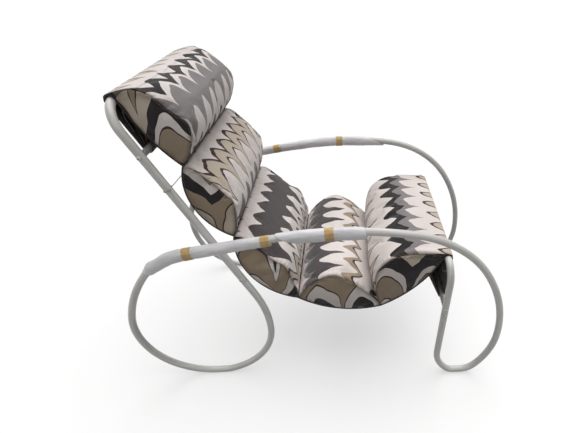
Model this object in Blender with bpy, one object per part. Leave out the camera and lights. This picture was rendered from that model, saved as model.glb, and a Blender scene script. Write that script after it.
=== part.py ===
"""Lounge chair: a bent steel tube frame that carries a cloth sling and five padded rolls.

Units are metres. +Z is up, +X is the way the sitter faces and +Y is the sitter's left.
The origin is on the floor, under the middle of the chair.
"""

import math

import bmesh
import bpy
from mathutils import Vector

# Tube stock
TUBE_RADIUS = 0.010
TUBE_WALL = 0.0015
TUBE_SIDES = 12
BORE_SIDES = 8
CHORD_ERROR = 0.0012
WIDEST_STEP = 18.0
ROD_RADIUS = 0.008
FIT_GAP = 0.0003
OVERRUN = 0.002

# Planes of the side frames, measured from the middle of the chair
ARM_PLANE = 0.275
CROSSING_GAP = 0.007

# Bend tables: (centre line radius, turn in degrees), from each foot outwards
REAR_FOOT_RUN = 0.030
REAR_RISE = ((0.060, 13.5), (0.200, 74.5), (0.348, 25.5))
LOOP_RETURN = ((0.193, 65.5), (0.227, 40.5), (0.474, 27.0), (0.172, 37.0))
ARM_RUN = 0.251
ARM_FALL = ((0.998, 19.0), (0.316, 47.5))
NOSE_BENDS = ((0.257, 34.0), (0.058, 56.0))
NOSE_RUN = 0.020
LEG_BENDS = ((0.035, 42.0), (0.113, 48.0))

# Hoops that close the frame across the top and the front
BACK_RUN = 0.526
BACK_CORNER = 0.060
LEG_TOP = 0.395
LEG_CORNER = 0.050

# Joints between the tubes
BACK_JOINT_RISE = 0.050
ARM_JOINT_SETBACK = 0.050
LEG_JOINT_DROP = 0.133
SPIGOT_LENGTH = 0.060
JOINT_SCREW_SETBACK = 0.015
JOINT_SCREW_LENGTH = 0.010

# Rods that the sling is hemmed round
HEAD_ROD_DROP = 0.060
FRONT_ROD_DROP = 0.091
ROD_SCREW_LENGTH = 0.036

# Screws
SCREW_RADIUS = 0.003
SCREW_HEAD_RADIUS = 0.0055
SCREW_HEAD_EDGE = 0.0012
SCREW_HEAD_HEIGHT = 0.0030
SCREW_CROWN_RADIUS_SHARE = 0.62
SCREW_CROWN_HEIGHT_SHARE = 0.86
SCREW_SIDES = 10

# Sling
SLING_THICKNESS = 0.0025
SLING_TOP_WIDTH = 0.376
SLING_SEAT_WIDTH = 0.446
SEAM_PLACE_SHARES = ((0.144, 0.354), (0.250, 0.832), (0.448, 1.334), (0.767, 1.414))
SEAM_WIDTH_SHARES = (0.55, 0.47, 0.43, 0.85, 1.0, 1.0)
HEAD_LANDING_SHARE = 0.62
KNEE_LANDING_SHARE = 0.72
ARC_STEPS = 10
WRAP_STEP = 20.0
SETTLING_PASSES = 40

# Rolls, from the head down: name, sag of the underside, height of the crown
HEAD_SAG = 0.011
HEAD_OVERHANG = 0.45
HEAD_CROWN = 0.104
BACK_SAG = 0.045
BACK_CROWN = 0.110
LUMBAR_SAG = 0.058
LUMBAR_CROWN = 0.104
SEAT_SAG = 0.029
SEAT_CROWN = 0.140
KNEE_SAG = 0.022
KNEE_CROWN = 0.146
ROLL_EDGE_INSET = 0.001
ROLL_SEAM_HEIGHT = 0.014
ROLL_SEAM_GAP = 0.001
ROLL_DRAW_IN = 0.014
ROLL_END_BULGE = 0.008
CROWN_STEPS = 15
CROWN_FLATNESS = 2.4
CROWN_FULLNESS = 1.6
STATION_SHARES = ((0.0, 0.0), (0.35, 0.0), (0.65, 0.08), (0.85, 0.3), (0.95, 0.65), (1.0, 1.0))
END_PANEL_SHARES = ((0.72, 0.55), (0.38, 0.88))
NORMAL_BLEND_SHARE = 0.35

# Foam sleeves on the arms
SLEEVE_SIDE_WALL = 0.005
SLEEVE_TOP_WALL = 0.002
SLEEVE_SAG_WALL = 0.014
SLEEVE_SIDES = 12
REAR_SLEEVE_BEFORE_ARM = 0.128
REAR_SLEEVE_LENGTH = 0.356
SLEEVE_BARE_GAP = 0.015
FRONT_SLEEVE_LENGTH = 0.227
REAR_FULLNESS_SHARES = ((0.0, 0.5), (0.08, 0.9), (0.2, 1.0), (0.4, 0.95), (0.75, 0.65), (1.0, 0.6))
FRONT_FULLNESS_SHARES = ((0.0, 0.75), (0.15, 1.0), (0.6, 1.0), (0.85, 0.95), (1.0, 0.75))

# The left arm is wrapped differently: a shorter rear sleeve and a longer front one
LEFT_REAR_SLEEVE_LENGTH = 0.3085
LEFT_SLEEVE_BARE_GAP = 0.005
LEFT_FRONT_SLEEVE_LENGTH = 0.3745
LEFT_FRONT_FULLNESS_SHARES = ((0.0, 0.6), (0.15, 0.75), (0.55, 0.95), (0.8, 0.9), (1.0, 0.4))

# Tape bands round the sleeves
TAPE_WIDTH = 0.023
TAPE_THICKNESS = 0.0006
REAR_TAPE_SETBACK = 0.1415
JOIN_TAPE_SETBACK = 0.0125
FRONT_TAPE_SETBACK = 0.1325
LEFT_FRONT_TAPE_SETBACK = 0.211

# Corners of the rear loop, before the arm starts, that the sleeves may reach back over
ARM_LEAD_POINTS = 6

# Tie cords between the back tubes and the sling's edges
CORD_RADIUS = 0.001
TIE_BELOW_ROD = 0.092
TIE_SEAM_SHARE = 0.1
TIE_TURNS = 0.92
TIE_LOOP_STEPS = 14
TIE_MIDDLE_SHARE = 0.5

# Finishes: colour, metallic, roughness
FINISHES = {
    "tube_paint": ((0.62, 0.62, 0.60, 1.0), 0.0, 0.35),
    "bare_steel": ((0.55, 0.55, 0.56, 1.0), 1.0, 0.35),
    "roll_fabric": ((0.80, 0.75, 0.71, 1.0), 0.0, 0.85),
    "sling_cloth": ((0.20, 0.17, 0.15, 1.0), 0.0, 0.9),
    "sleeve_foam": ((0.78, 0.80, 0.85, 1.0), 0.0, 0.5),
    "masking_tape": ((0.62, 0.45, 0.24, 1.0), 0.0, 0.7),
    "tie_cord": ((0.55, 0.53, 0.50, 1.0), 0.0, 0.8),
}

SIDES = (("right", -1), ("left", 1))


# Plane geometry


def direction(heading):
    """Unit vector of a heading given in radians."""
    return Vector((math.cos(heading), math.sin(heading)))


def left_of(heading):
    """Unit vector a quarter turn to the left of a heading."""
    return Vector((-math.sin(heading), math.cos(heading)))


def heading_of(step):
    """Heading of a plane vector, in radians."""
    return math.atan2(step.y, step.x)


def arc_steps(radius, turn):
    """How many chords keep an arc within the chord error."""
    widest = math.radians(WIDEST_STEP)
    step = min(widest, 2 * math.acos(1 - CHORD_ERROR / radius))
    return max(2, math.ceil(abs(turn) / step))


class Bender:
    """Walks along a tube's centre line, one straight or one bend at a time."""

    def __init__(self, start, heading):
        self.points = [Vector(start)]
        self.heading = math.radians(heading)

    def straight(self, length):
        self.points.append(self.points[-1] + direction(self.heading) * length)

    def bend(self, radius, degrees):
        turn = math.radians(degrees)
        side = math.copysign(1, turn)
        centre = self.points[-1] + left_of(self.heading) * radius * side
        steps = arc_steps(radius, turn)
        for index in range(1, steps + 1):
            heading = self.heading + turn * index / steps
            self.points.append(centre - left_of(heading) * radius * side)
        self.heading += turn


class Line:
    """A polyline in space that can be asked for a place at any distance along it."""

    def __init__(self, points):
        self.points = [Vector(point) for point in points]
        self.marks = [0.0]
        for first, second in zip(self.points, self.points[1:]):
            self.marks.append(self.marks[-1] + (second - first).length)
        self.length = self.marks[-1]

    def index_at(self, distance):
        inside = [i for i, mark in enumerate(self.marks[:-1]) if mark <= distance]
        return inside[-1] if inside else 0

    def place(self, distance):
        """The point at a distance, and the line's direction there."""
        slack = CHORD_ERROR * CHORD_ERROR / self.length
        for i in range(1, len(self.points) - 1):
            if abs(self.marks[i] - distance) < slack:
                before = (self.points[i] - self.points[i - 1]).normalized()
                after = (self.points[i + 1] - self.points[i]).normalized()
                return self.points[i], (before + after).normalized()
        i = self.index_at(distance)
        way = (self.points[i + 1] - self.points[i]).normalized()
        return self.points[i] + way * (distance - self.marks[i]), way

    def between(self, start, end, extra=()):
        """Distances of every corner from start to end, with the extra ones in order."""
        slack = CHORD_ERROR * CHORD_ERROR / self.length
        wanted = sorted([start, end] + [m for m in (*self.marks, *extra) if start < m < end])
        kept = wanted[:1]
        for distance in wanted[1:]:
            if distance - kept[-1] > slack:
                kept.append(distance)
        return kept


# Meshes


def ring(centre, side, up, flat_radius, count):
    """A regular polygon whose flats lie at flat_radius, one of them square to side."""
    corner = flat_radius / math.cos(math.pi / count)
    angles = [2 * math.pi * (k + 0.5) / count for k in range(count)]
    return [centre + side * corner * math.cos(a) + up * corner * math.sin(a) for a in angles]


def frames(line, distances, first_side, carried):
    """A centre, side and up vector at each distance; carried sides turn with the line."""
    result = []
    side = Vector(first_side)
    for distance in distances:
        centre, along = line.place(distance)
        start = side if carried else Vector(first_side)
        side = (start - along * start.dot(along)).normalized()
        result.append((centre, side, along.cross(side)))
    return result


def add_skin(bm, rings):
    """Walls between successive rings; returns the rings' vertices."""
    verts = [[bm.verts.new(point) for point in points] for points in rings]
    for first, second in zip(verts, verts[1:]):
        for i in range(len(first)):
            j = (i + 1) % len(first)
            bm.faces.new((first[i], first[j], second[j], second[i]))
    return verts


def add_end(bm, outer, inner):
    """A flat ring of triangles between two closed rows of vertices, taken in turn."""
    i = j = 0
    while i < len(outer) or j < len(inner):
        here, there = outer[i % len(outer)], inner[j % len(inner)]
        if (i + 1) * len(inner) <= (j + 1) * len(outer):
            i += 1
            bm.faces.new((here, outer[i % len(outer)], there))
        else:
            j += 1
            bm.faces.new((here, inner[j % len(inner)], there))


def add_object(name, bm, finish, parent):
    """Turn a closed bmesh into a named object with its material."""
    bmesh.ops.recalc_face_normals(bm, faces=bm.faces)
    mesh = bpy.data.meshes.new(name)
    bm.to_mesh(mesh)
    bm.free()
    mesh.shade_smooth()
    mesh.set_sharp_from_angle(angle=math.radians(40))
    return place_object(name, mesh, finish, parent)


def place_object(name, data, finish, parent):
    """Link an object, hang it from the chair's empty and give it its material."""
    piece = bpy.data.objects.new(name, data)
    bpy.context.collection.objects.link(piece)
    piece.parent = parent
    data.materials.append(material(finish))
    return piece


def material(name):
    """One Principled material for each finish."""
    made = bpy.data.materials.get(name)
    if made:
        return made
    colour, metallic, roughness = FINISHES[name]
    made = bpy.data.materials.new(name)
    made.use_nodes = True
    shader = made.node_tree.nodes["Principled BSDF"]
    shader.inputs["Base Color"].default_value = colour
    shader.inputs["Metallic"].default_value = metallic
    shader.inputs["Roughness"].default_value = roughness
    return made


def solid_of_rings(rings):
    """A closed solid whose two end rings are filled."""
    bm = bmesh.new()
    verts = add_skin(bm, rings)
    bm.faces.new(verts[0])
    bm.faces.new(verts[-1])
    return bm


def hollow_of_rings(outer, inner):
    """A closed wall between outer and inner rings, open at both ends."""
    bm = bmesh.new()
    shell = add_skin(bm, outer)
    bore = add_skin(bm, inner)
    for end in (0, -1):
        add_end(bm, shell[end], bore[end])
    return bm


def tube(name, points, side, carried, parent):
    """A round tube with its bore, bent along a line of points."""
    line = Line(points)
    stations = frames(line, line.marks, side, carried)
    outer = [ring(*station, TUBE_RADIUS, TUBE_SIDES) for station in stations]
    inner = [ring(*station, TUBE_RADIUS - TUBE_WALL, BORE_SIDES) for station in stations]
    return add_object(name, hollow_of_rings(outer, inner), "tube_paint", parent)


def bar(name, start, end, side, radius, count, finish, parent):
    """A straight solid bar between two points."""
    line = Line((start, end))
    stations = frames(line, line.marks, side, False)
    rings = [ring(*station, radius, count) for station in stations]
    return add_object(name, solid_of_rings(rings), finish, parent)


def turned(name, profile, base, axis, count, finish, parent):
    """A solid turned about an axis from (radius, height) pairs, pointed at its last one."""
    side = axis.orthogonal().normalized()
    up = axis.cross(side)
    rings = [ring(base + axis * height, side, up, radius, count) for radius, height in profile[:-1]]
    bm = bmesh.new()
    verts = add_skin(bm, rings)
    bm.faces.new(verts[0])
    tip = bm.verts.new(base + axis * profile[-1][1])
    for i in range(count):
        bm.faces.new((verts[-1][i - 1], verts[-1][i], tip))
    return add_object(name, bm, finish, parent)


def cut(piece, cutter):
    """Take the cutter's shape out of a piece."""
    boolean = piece.modifiers.new("cut_" + cutter.name, "BOOLEAN")
    boolean.operation = "DIFFERENCE"
    boolean.solver = "EXACT"
    boolean.object = cutter


def hide_cutter(cutter):
    """Mark an object as a guide that isn't part of the chair."""
    cutter.hide_render = True
    cutter.display_type = "WIRE"
    return cutter


# Layout of the frame


def nose_drop():
    """Height that the bends at the nose of the front loop take."""
    walk = Bender((0, 0), -90)
    for radius, turn in NOSE_BENDS:
        walk.bend(radius, -turn)
    return -walk.points[-1].y


def side_walks():
    """Centre lines of one side, in the side plane, with the marks where pieces meet."""
    rise = Bender((REAR_FOOT_RUN / 2, TUBE_RADIUS), 0)
    for radius, turn in REAR_RISE:
        rise.bend(radius, turn)
    bends_end = len(rise.points)
    rise.straight(BACK_JOINT_RISE)

    forward = Bender((-REAR_FOOT_RUN / 2, TUBE_RADIUS), 180)
    for radius, turn in LOOP_RETURN:
        forward.bend(radius, -turn)
    arm_start = len(forward.points)
    forward.straight(ARM_RUN - ARM_JOINT_SETBACK)

    front = Bender(forward.points[-1], 0)
    front.heading = forward.heading
    front.straight(ARM_JOINT_SETBACK)
    for radius, turn in ARM_FALL:
        front.bend(radius, -turn)
    height_left = front.points[-1].y - TUBE_RADIUS - nose_drop()
    last_radius = height_left / math.cos(front.heading)
    front.bend(last_radius, -90 - math.degrees(math.remainder(front.heading, 2 * math.pi)))
    for radius, turn in NOSE_BENDS:
        front.bend(radius, -turn)
    front.straight(NOSE_RUN)
    for radius, turn in LEG_BENDS:
        front.bend(radius, -turn)
    leg_joint_height = LEG_TOP - LEG_JOINT_DROP
    front.straight(leg_joint_height - front.points[-1].y)

    rear = rise.points[::-1] + forward.points
    swing = (len(rise.points) - bends_end, len(rise.points) + arm_start - 1)
    centre = sum(limit(p.x for p in rear + front.points) for limit in (min, max)) / 2
    shift = Vector((-centre, 0))
    rear = [point + shift for point in rear]
    front_points = [point + shift for point in front.points]
    return rear, swing, front_points, rise.heading


def crossing_planes(rear, swing):
    """Distance of each rear loop point from the middle: the loop steps out past the back."""
    line = Line([in_space(p, 0) for p in rear])
    start, end = (line.marks[i] for i in swing)
    inner = ARM_PLANE - 2 * TUBE_RADIUS - CROSSING_GAP
    planes = []
    for mark in line.marks:
        share = min(max((mark - start) / (end - start), 0), 1)
        planes.append(inner + (ARM_PLANE - inner) * share * share * (3 - 2 * share))
    return planes


def in_space(point, plane):
    """A point of the side plane, placed at a distance to the left of the middle."""
    return Vector((point.x, plane, point.y))


def hoop_points(joint, heading, run, corner, plane):
    """A hoop from one side joint, up, across and down to the other joint."""
    start = in_space(joint, plane)
    up = in_space(direction(heading), 0)
    across = Vector((0, -math.copysign(1, plane), 0))
    corner_start = start + up * run
    steps = arc_steps(corner, math.pi / 2)
    bend = []
    for index in range(steps + 1):
        angle = math.pi / 2 * index / steps
        bend.append(corner_start + up * corner * math.sin(angle) + across * corner * (1 - math.cos(angle)))
    half = [start] + bend
    other = [Vector((p.x, -p.y, p.z)) for p in reversed(half)]
    return half + other


# Frame pieces


def build_frame(parent):
    """Loops, hoops, spigots, rods and screws; returns what the soft pieces need."""
    rear, swing, front, back_heading = side_walks()
    planes = crossing_planes(rear, swing)
    back_plane = planes[0]
    back_joint = rear[0]
    back_way = direction(back_heading)
    corner_start = back_joint + back_way * (BACK_RUN - BACK_JOINT_RISE)
    leg_joint = front[-1]
    leg_corner = Vector((leg_joint.x, LEG_TOP))
    pieces = {}

    pieces["back_hoop"] = tube(
        "back_hoop",
        hoop_points(back_joint + back_way * FIT_GAP, back_heading,
                    BACK_RUN - BACK_JOINT_RISE - FIT_GAP, BACK_CORNER, -back_plane),
        (0, 1, 0), True, parent)
    pieces["front_hoop"] = tube(
        "front_hoop",
        hoop_points(leg_joint + Vector((0, FIT_GAP)), math.pi / 2,
                    LEG_JOINT_DROP - FIT_GAP, LEG_CORNER, -ARM_PLANE),
        (0, 1, 0), True, parent)

    head_rod = corner_start - back_way * HEAD_ROD_DROP
    front_rod = leg_corner - Vector((0, FRONT_ROD_DROP))
    pieces["head_rod"] = rod("head_rod", head_rod, back_plane, back_way, pieces["back_hoop"], parent)
    pieces["front_rod"] = rod(
        "front_rod", front_rod, ARM_PLANE, Vector((0, 1)), pieces["front_hoop"], parent)

    arm_lines = {}
    for side, sign in SIDES:
        out = Vector((0, sign, 0))
        rear_points = [in_space(p, q * sign) for p, q in zip(rear, planes)]
        front_points = [in_space(p, ARM_PLANE * sign) for p in front]
        arm_way = (front_points[1] - front_points[0]).normalized()
        arm_joint = front_points[0]
        arm_lines[side] = Line(rear_points[swing[1] - ARM_LEAD_POINTS:-1] + front_points[1:])
        front_points[0] = arm_joint + arm_way * FIT_GAP
        pieces["rear_loop"] = tube("rear_loop_" + side, rear_points, out, False, parent)
        pieces["front_loop"] = tube("front_loop_" + side, front_points, out, False, parent)

        back_spigot = spigot("back_spigot_" + side, in_space(back_joint, back_plane * sign),
                             in_space(back_way, 0), out, parent)
        spigot("arm_spigot_" + side, arm_joint, arm_way, out, parent)
        leg_spigot = spigot("leg_spigot_" + side, front_points[-1], Vector((0, 0, 1)), out, parent)

        back_place = back_joint + back_way * JOINT_SCREW_SETBACK
        screw("back_joint_screw_" + side, in_space(back_place, back_plane * sign), out,
              JOINT_SCREW_LENGTH, (pieces["back_hoop"], back_spigot), parent)
        leg_place = leg_joint + Vector((0, JOINT_SCREW_SETBACK))
        screw("leg_joint_screw_" + side, in_space(leg_place, ARM_PLANE * sign), out,
              JOINT_SCREW_LENGTH, (pieces["front_hoop"], leg_spigot), parent)
        screw("head_rod_screw_" + side, in_space(head_rod, back_plane * sign), out,
              ROD_SCREW_LENGTH, (pieces["back_hoop"], pieces["head_rod"]), parent)
        screw("front_rod_screw_" + side, in_space(front_rod, ARM_PLANE * sign), out,
              ROD_SCREW_LENGTH, (pieces["front_hoop"], pieces["front_rod"]), parent)

    return {
        "arm_lines": arm_lines,
        "top_bar": corner_start + back_way * BACK_CORNER,
        "front_bar": leg_corner + Vector((0, LEG_CORNER)),
        "head_rod": head_rod,
        "front_rod": front_rod,
        "back_way": back_way,
        "back_plane": back_plane,
    }


def spigot(name, joint, way, out, parent):
    """A plug that joins two tube ends from inside."""
    half = way * SPIGOT_LENGTH / 2
    radius = TUBE_RADIUS - TUBE_WALL - FIT_GAP
    return bar(name, joint - half, joint + half, out, radius, BORE_SIDES, "bare_steel", parent)


def rod(name, place, plane, tube_way, hoop, parent):
    """A rod between two tubes, its ends coped to fit round them."""
    reach = plane - TUBE_RADIUS / 2
    piece = bar(name, in_space(place, -reach), in_space(place, reach), in_space(tube_way, 0),
                ROD_RADIUS, TUBE_SIDES, "bare_steel", parent)
    way = in_space(tube_way, 0) * TUBE_RADIUS * 2
    for side, sign in SIDES:
        centre = in_space(place, plane * sign)
        cutter = bar(name + "_cope_" + side, centre - way, centre + way, Vector((0, sign, 0)),
                     TUBE_RADIUS + FIT_GAP, TUBE_SIDES, "bare_steel", parent)
        cut(piece, hide_cutter(cutter))
    return piece


def screw(name, centre, out, length, held, parent):
    """A pan head screw through a tube's outer side, with its clearance hole."""
    seat = centre + out * (TUBE_RADIUS + FIT_GAP)
    profile = (
        (SCREW_RADIUS, -length),
        (SCREW_RADIUS, 0),
        (SCREW_HEAD_RADIUS, 0),
        (SCREW_HEAD_RADIUS, SCREW_HEAD_EDGE),
        (SCREW_HEAD_RADIUS * SCREW_CROWN_RADIUS_SHARE, SCREW_HEAD_HEIGHT * SCREW_CROWN_HEIGHT_SHARE),
        (0, SCREW_HEAD_HEIGHT),
    )
    turned(name, profile, seat, out, SCREW_SIDES, "bare_steel", parent)
    hole_radius = SCREW_RADIUS + FIT_GAP
    hole = bar(name + "_hole", seat + out * OVERRUN, seat - out * (length + FIT_GAP),
               out.orthogonal().normalized(), hole_radius, SCREW_SIDES, "bare_steel", parent)
    hide_cutter(hole)
    for piece in held:
        cut(piece, hole)


# Sling


def wrap(centre, radius, start, end):
    """Points that pass clockwise round a bar, from one heading to a lower one."""
    steps = max(2, math.ceil((start - end) / math.radians(WRAP_STEP)))
    return [centre + left_of(start + (end - start) * k / steps) * radius for k in range(steps + 1)]


def tangent_heading(first, first_radius, second, second_radius):
    """Heading of the cloth between two bars that it passes on its right."""
    step = second - first
    return heading_of(step) - math.asin((first_radius - second_radius) / step.length)


def half_turn(sag, chord):
    """Half the angle that an arc of a given sag turns through."""
    return 2 * math.atan2(2 * sag, chord)


def base_arc(start, end, sag):
    """Stations along a sagging arc: (point, heading), and where the arc begins and ends."""
    chord = end - start
    half = half_turn(sag, chord.length)
    radius = chord.length / (2 * math.sin(half))
    first = heading_of(chord) - half
    centre = start + left_of(first) * radius
    stations = []
    for k in range(ARC_STEPS + 1):
        heading = first + 2 * half * k / ARC_STEPS
        stations.append((centre - left_of(heading) * radius, heading))
    return stations


def settle(bar_centre, radius, seam, sag, leaving):
    """Where the cloth leaves or meets a bar, so that the arc beyond it is tangent."""
    heading = heading_of(seam - bar_centre)
    for _ in range(SETTLING_PASSES):
        touch = bar_centre + left_of(heading) * radius
        chord = (seam - touch) if leaving else (touch - seam)
        turn = half_turn(sag, chord.length)
        heading = heading_of(chord) + (-turn if leaving else turn)
    return bar_centre + left_of(heading) * radius, heading


def lay_sling(frame):
    """The sling's middle line in the side plane, and the arc under each roll."""
    top, front = frame["top_bar"], frame["front_bar"]
    reach, fall = front.x - top.x, top.y - front.y
    seams = [Vector((top.x + along * reach, top.y - down * fall)) for along, down in SEAM_PLACE_SHARES]
    to_corner = 1 / math.cos(math.pi / TUBE_SIDES)
    bar_radius = TUBE_RADIUS * to_corner + FIT_GAP + SLING_THICKNESS / 2
    rod_radius = ROD_RADIUS * to_corner + FIT_GAP + SLING_THICKNESS / 2
    first, leave = settle(top, bar_radius, seams[0], HEAD_SAG, True)
    last, arrive = settle(front, bar_radius, seams[-1], KNEE_SAG, False)
    places = [first, *seams, last]
    sags = (HEAD_SAG, BACK_SAG, LUMBAR_SAG, SEAT_SAG, KNEE_SAG)
    arcs = [base_arc(a, b, sag) for a, b, sag in zip(places, places[1:], sags)]

    under = SLING_THICKNESS + FIT_GAP
    head_place, head_heading = arcs[0][round(ARC_STEPS * HEAD_LANDING_SHARE)]
    head_landing = head_place - left_of(head_heading) * under
    knee_place, knee_heading = arcs[-1][round(ARC_STEPS * KNEE_LANDING_SHARE)]
    knee_landing = knee_place - left_of(knee_heading) * under

    head_rod, front_rod = frame["head_rod"], frame["front_rod"]
    full = 2 * math.pi
    climb = tangent_heading(head_rod, rod_radius, top, bar_radius)
    to_rod = tangent_heading(head_landing, 0, head_rod, rod_radius) % full
    drop = tangent_heading(front, bar_radius, front_rod, rod_radius)
    back_up = tangent_heading(front_rod, rod_radius, knee_landing, 0) - full

    head_hem = [head_landing, *wrap(head_rod, rod_radius, to_rod, climb)]
    head_hem += wrap(top, bar_radius, climb, leave)
    knee_hem = wrap(front, bar_radius, arrive, drop)[1:]
    knee_hem += [*wrap(front_rod, rod_radius, drop, back_up), knee_landing]
    path = [(point, SLING_TOP_WIDTH / 2) for point in head_hem]
    for i, arc in enumerate(arcs):
        path += [(point, half_width(i + (k + 1) / ARC_STEPS)) for k, (point, _) in enumerate(arc[1:])]
    path += [(point, half_width(len(arcs))) for point in knee_hem]
    return path, arcs


def half_width(spot):
    """Half the sling's width at a spot, counted in rolls from the top bar down."""
    i = min(int(spot), len(SEAM_WIDTH_SHARES) - 2)
    low, high = SEAM_WIDTH_SHARES[i], SEAM_WIDTH_SHARES[i + 1]
    share = low + (high - low) * (spot - i)
    return (SLING_TOP_WIDTH + (SLING_SEAT_WIDTH - SLING_TOP_WIDTH) * share) / 2


def build_sling(path, parent):
    """A strip of cloth of even thickness along the sling's middle line."""
    rings = []
    points = [point for point, _ in path]
    for i, (point, half) in enumerate(path):
        before = heading_of(point - points[max(i - 1, 0)])
        after = heading_of(points[min(i + 1, len(points) - 1)] - point)
        before = after if i == 0 else before
        after = before if i + 1 == len(points) else after
        half_bend = math.remainder(after - before, 2 * math.pi) / 2
        offset = left_of(before + half_bend) * SLING_THICKNESS / 2 / math.cos(half_bend)
        over, under = point + offset, point - offset
        rings.append([in_space(over, -half), in_space(over, half),
                      in_space(under, half), in_space(under, -half)])
    return add_object("sling", solid_of_rings(rings), "sling_cloth", parent)


# Rolls


def crown_height(share, crown):
    """Height of a roll's crown above its underside, at a share of its length."""
    flat = 1 - abs(2 * share - 1) ** CROWN_FLATNESS
    return ROLL_SEAM_HEIGHT + (crown - ROLL_SEAM_HEIGHT) * flat ** (1 / CROWN_FULLNESS)


def roll_section(arc, crown, give_start, give_end):
    """Outline of a roll in the side plane: its underside, then its crown back again."""
    lift = SLING_THICKNESS / 2 + FIT_GAP
    first, last = arc[0], arc[-1]
    inset = ROLL_SEAM_GAP / 2
    base = list(arc)
    base[0] = (first[0] + direction(first[1]) * inset, first[1])
    base[-1] = (last[0] - direction(last[1]) * inset, last[1])
    underside = Line([in_space(point, 0) for point, _ in base])

    def lifted(share, height):
        place, _ = underside.place(share * underside.length)
        heading = first[1] + (last[1] - first[1]) * share
        lean = give_end * max(0, 1 - (1 - share) / NORMAL_BLEND_SHARE)
        lean -= give_start * max(0, 1 - share / NORMAL_BLEND_SHARE)
        return Vector((place.x, place.z)) + left_of(heading + lean) * height

    outline = [(lifted(0, lift), 0)]
    for k in range(1, ARC_STEPS):
        point, heading = base[k]
        outline.append((point + left_of(heading) * lift, k / ARC_STEPS))
    outline.append((lifted(1, lift), 1))
    for k in range(CROWN_STEPS + 1):
        turn = math.pi * (1 - k / CROWN_STEPS)
        share = (1 - math.cos(turn)) / 2
        outline.append((lifted(share, lift + crown_height(share, crown)), share))
    return outline


def build_roll(name, order, arc, crown, give_start, give_end, parent):
    """A padded roll: crowned, drawn in at its end seams, with bulging end panels."""
    stations = [(-share, draw) for share, draw in reversed(STATION_SHARES[1:])] + list(STATION_SHARES)
    rings = []
    for station, draw in stations:
        outline = roll_section(arc, crown - ROLL_DRAW_IN * draw, give_start, give_end)
        rings.append([
            in_space(point, station * (half_width(order + share) - ROLL_EDGE_INSET))
            for point, share in outline
        ])

    bm = bmesh.new()
    verts = add_skin(bm, rings)
    for end, sign in ((0, -1), (-1, 1)):
        seam = rings[end]
        middle = sum(seam, Vector()) / len(seam)
        out = Vector((0, sign * ROLL_END_BULGE, 0))
        outer = verts[end]
        for size, bulge in END_PANEL_SHARES:
            panel = [bm.verts.new(middle + (point - middle) * size + out * bulge) for point in seam]
            for i in range(len(panel)):
                bm.faces.new((outer[i - 1], outer[i], panel[i], panel[i - 1]))
            outer = panel
        tip = bm.verts.new(middle + out)
        for i in range(len(outer)):
            bm.faces.new((outer[i - 1], outer[i], tip))
    return add_object(name, bm, "roll_fabric", parent)


def build_rolls(arcs, parent):
    """The five rolls from the head down; where two crowns meet, each gives way by half."""
    names = ("head_roll", "back_roll", "lumbar_roll", "seat_roll", "knee_roll")
    crowns = (HEAD_CROWN, BACK_CROWN, LUMBAR_CROWN, SEAT_CROWN, KNEE_CROWN)
    gives = [-HEAD_OVERHANG]
    for first, second in zip(arcs, arcs[1:]):
        gives.append(max(0, second[0][1] - first[-1][1]) / 2)
    gives.append(0)
    for i, name in enumerate(names):
        build_roll(name, i, arcs[i], crowns[i], gives[i], gives[i + 1], parent)


# Sleeves and tape on the arms


def fullness(share, shares):
    """How thick a sleeve is at a share of its length, read between the given ones."""
    for (first, low), (second, high) in zip(shares, shares[1:]):
        if share <= second:
            return low + (high - low) * (share - first) / (second - first)
    return shares[-1][1]


def sleeve_ring(line, distance, out, full, extra):
    """An oval round the tube that hangs lower than it, extra outside the foam."""
    centre, along = line.place(distance)
    side = (out - along * out.dot(along)).normalized()
    up = along.cross(side)
    up = up if up.z > 0 else -up
    top = TUBE_RADIUS + SLEEVE_TOP_WALL * full + extra
    bottom = TUBE_RADIUS + SLEEVE_SAG_WALL * full + extra
    width = TUBE_RADIUS + SLEEVE_SIDE_WALL * full + extra
    middle = centre + up * (top - bottom) / 2
    height = (top + bottom) / 2
    angles = [2 * math.pi * k / SLEEVE_SIDES for k in range(SLEEVE_SIDES)]
    oval = [middle + side * width * math.cos(a) + up * height * math.sin(a) for a in angles]
    bore = ring(centre, side, up, TUBE_RADIUS + FIT_GAP, TUBE_SIDES)
    return oval, bore


def build_sleeve(name, line, start, length, shares, tapes, out, parent):
    """A foam sleeve with its tape bands; tapes maps a name to the band's middle."""
    knots = [start + length * share for share, _ in shares]
    edges = [middle + TAPE_WIDTH / 2 * way for middle in tapes.values() for way in (-1, 1)]
    stops = line.between(start, start + length, knots + edges)
    rings = {distance: fullness((distance - start) / length, shares) for distance in stops}
    ovals = [sleeve_ring(line, d, out, full, 0) for d, full in rings.items()]
    bm = hollow_of_rings([oval for oval, _ in ovals], [bore for _, bore in ovals])
    add_object(name, bm, "sleeve_foam", parent)
    slack = CHORD_ERROR * CHORD_ERROR / line.length
    for tape, middle in tapes.items():
        low, high = middle - TAPE_WIDTH / 2 - slack, middle + TAPE_WIDTH / 2 + slack
        inside = [(d, full) for d, full in rings.items() if low <= d <= high]
        outer = [sleeve_ring(line, d, out, full, FIT_GAP + TAPE_THICKNESS)[0] for d, full in inside]
        inner = [sleeve_ring(line, d, out, full, FIT_GAP)[0] for d, full in inside]
        add_object(tape, hollow_of_rings(outer, inner), "masking_tape", parent)


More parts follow.
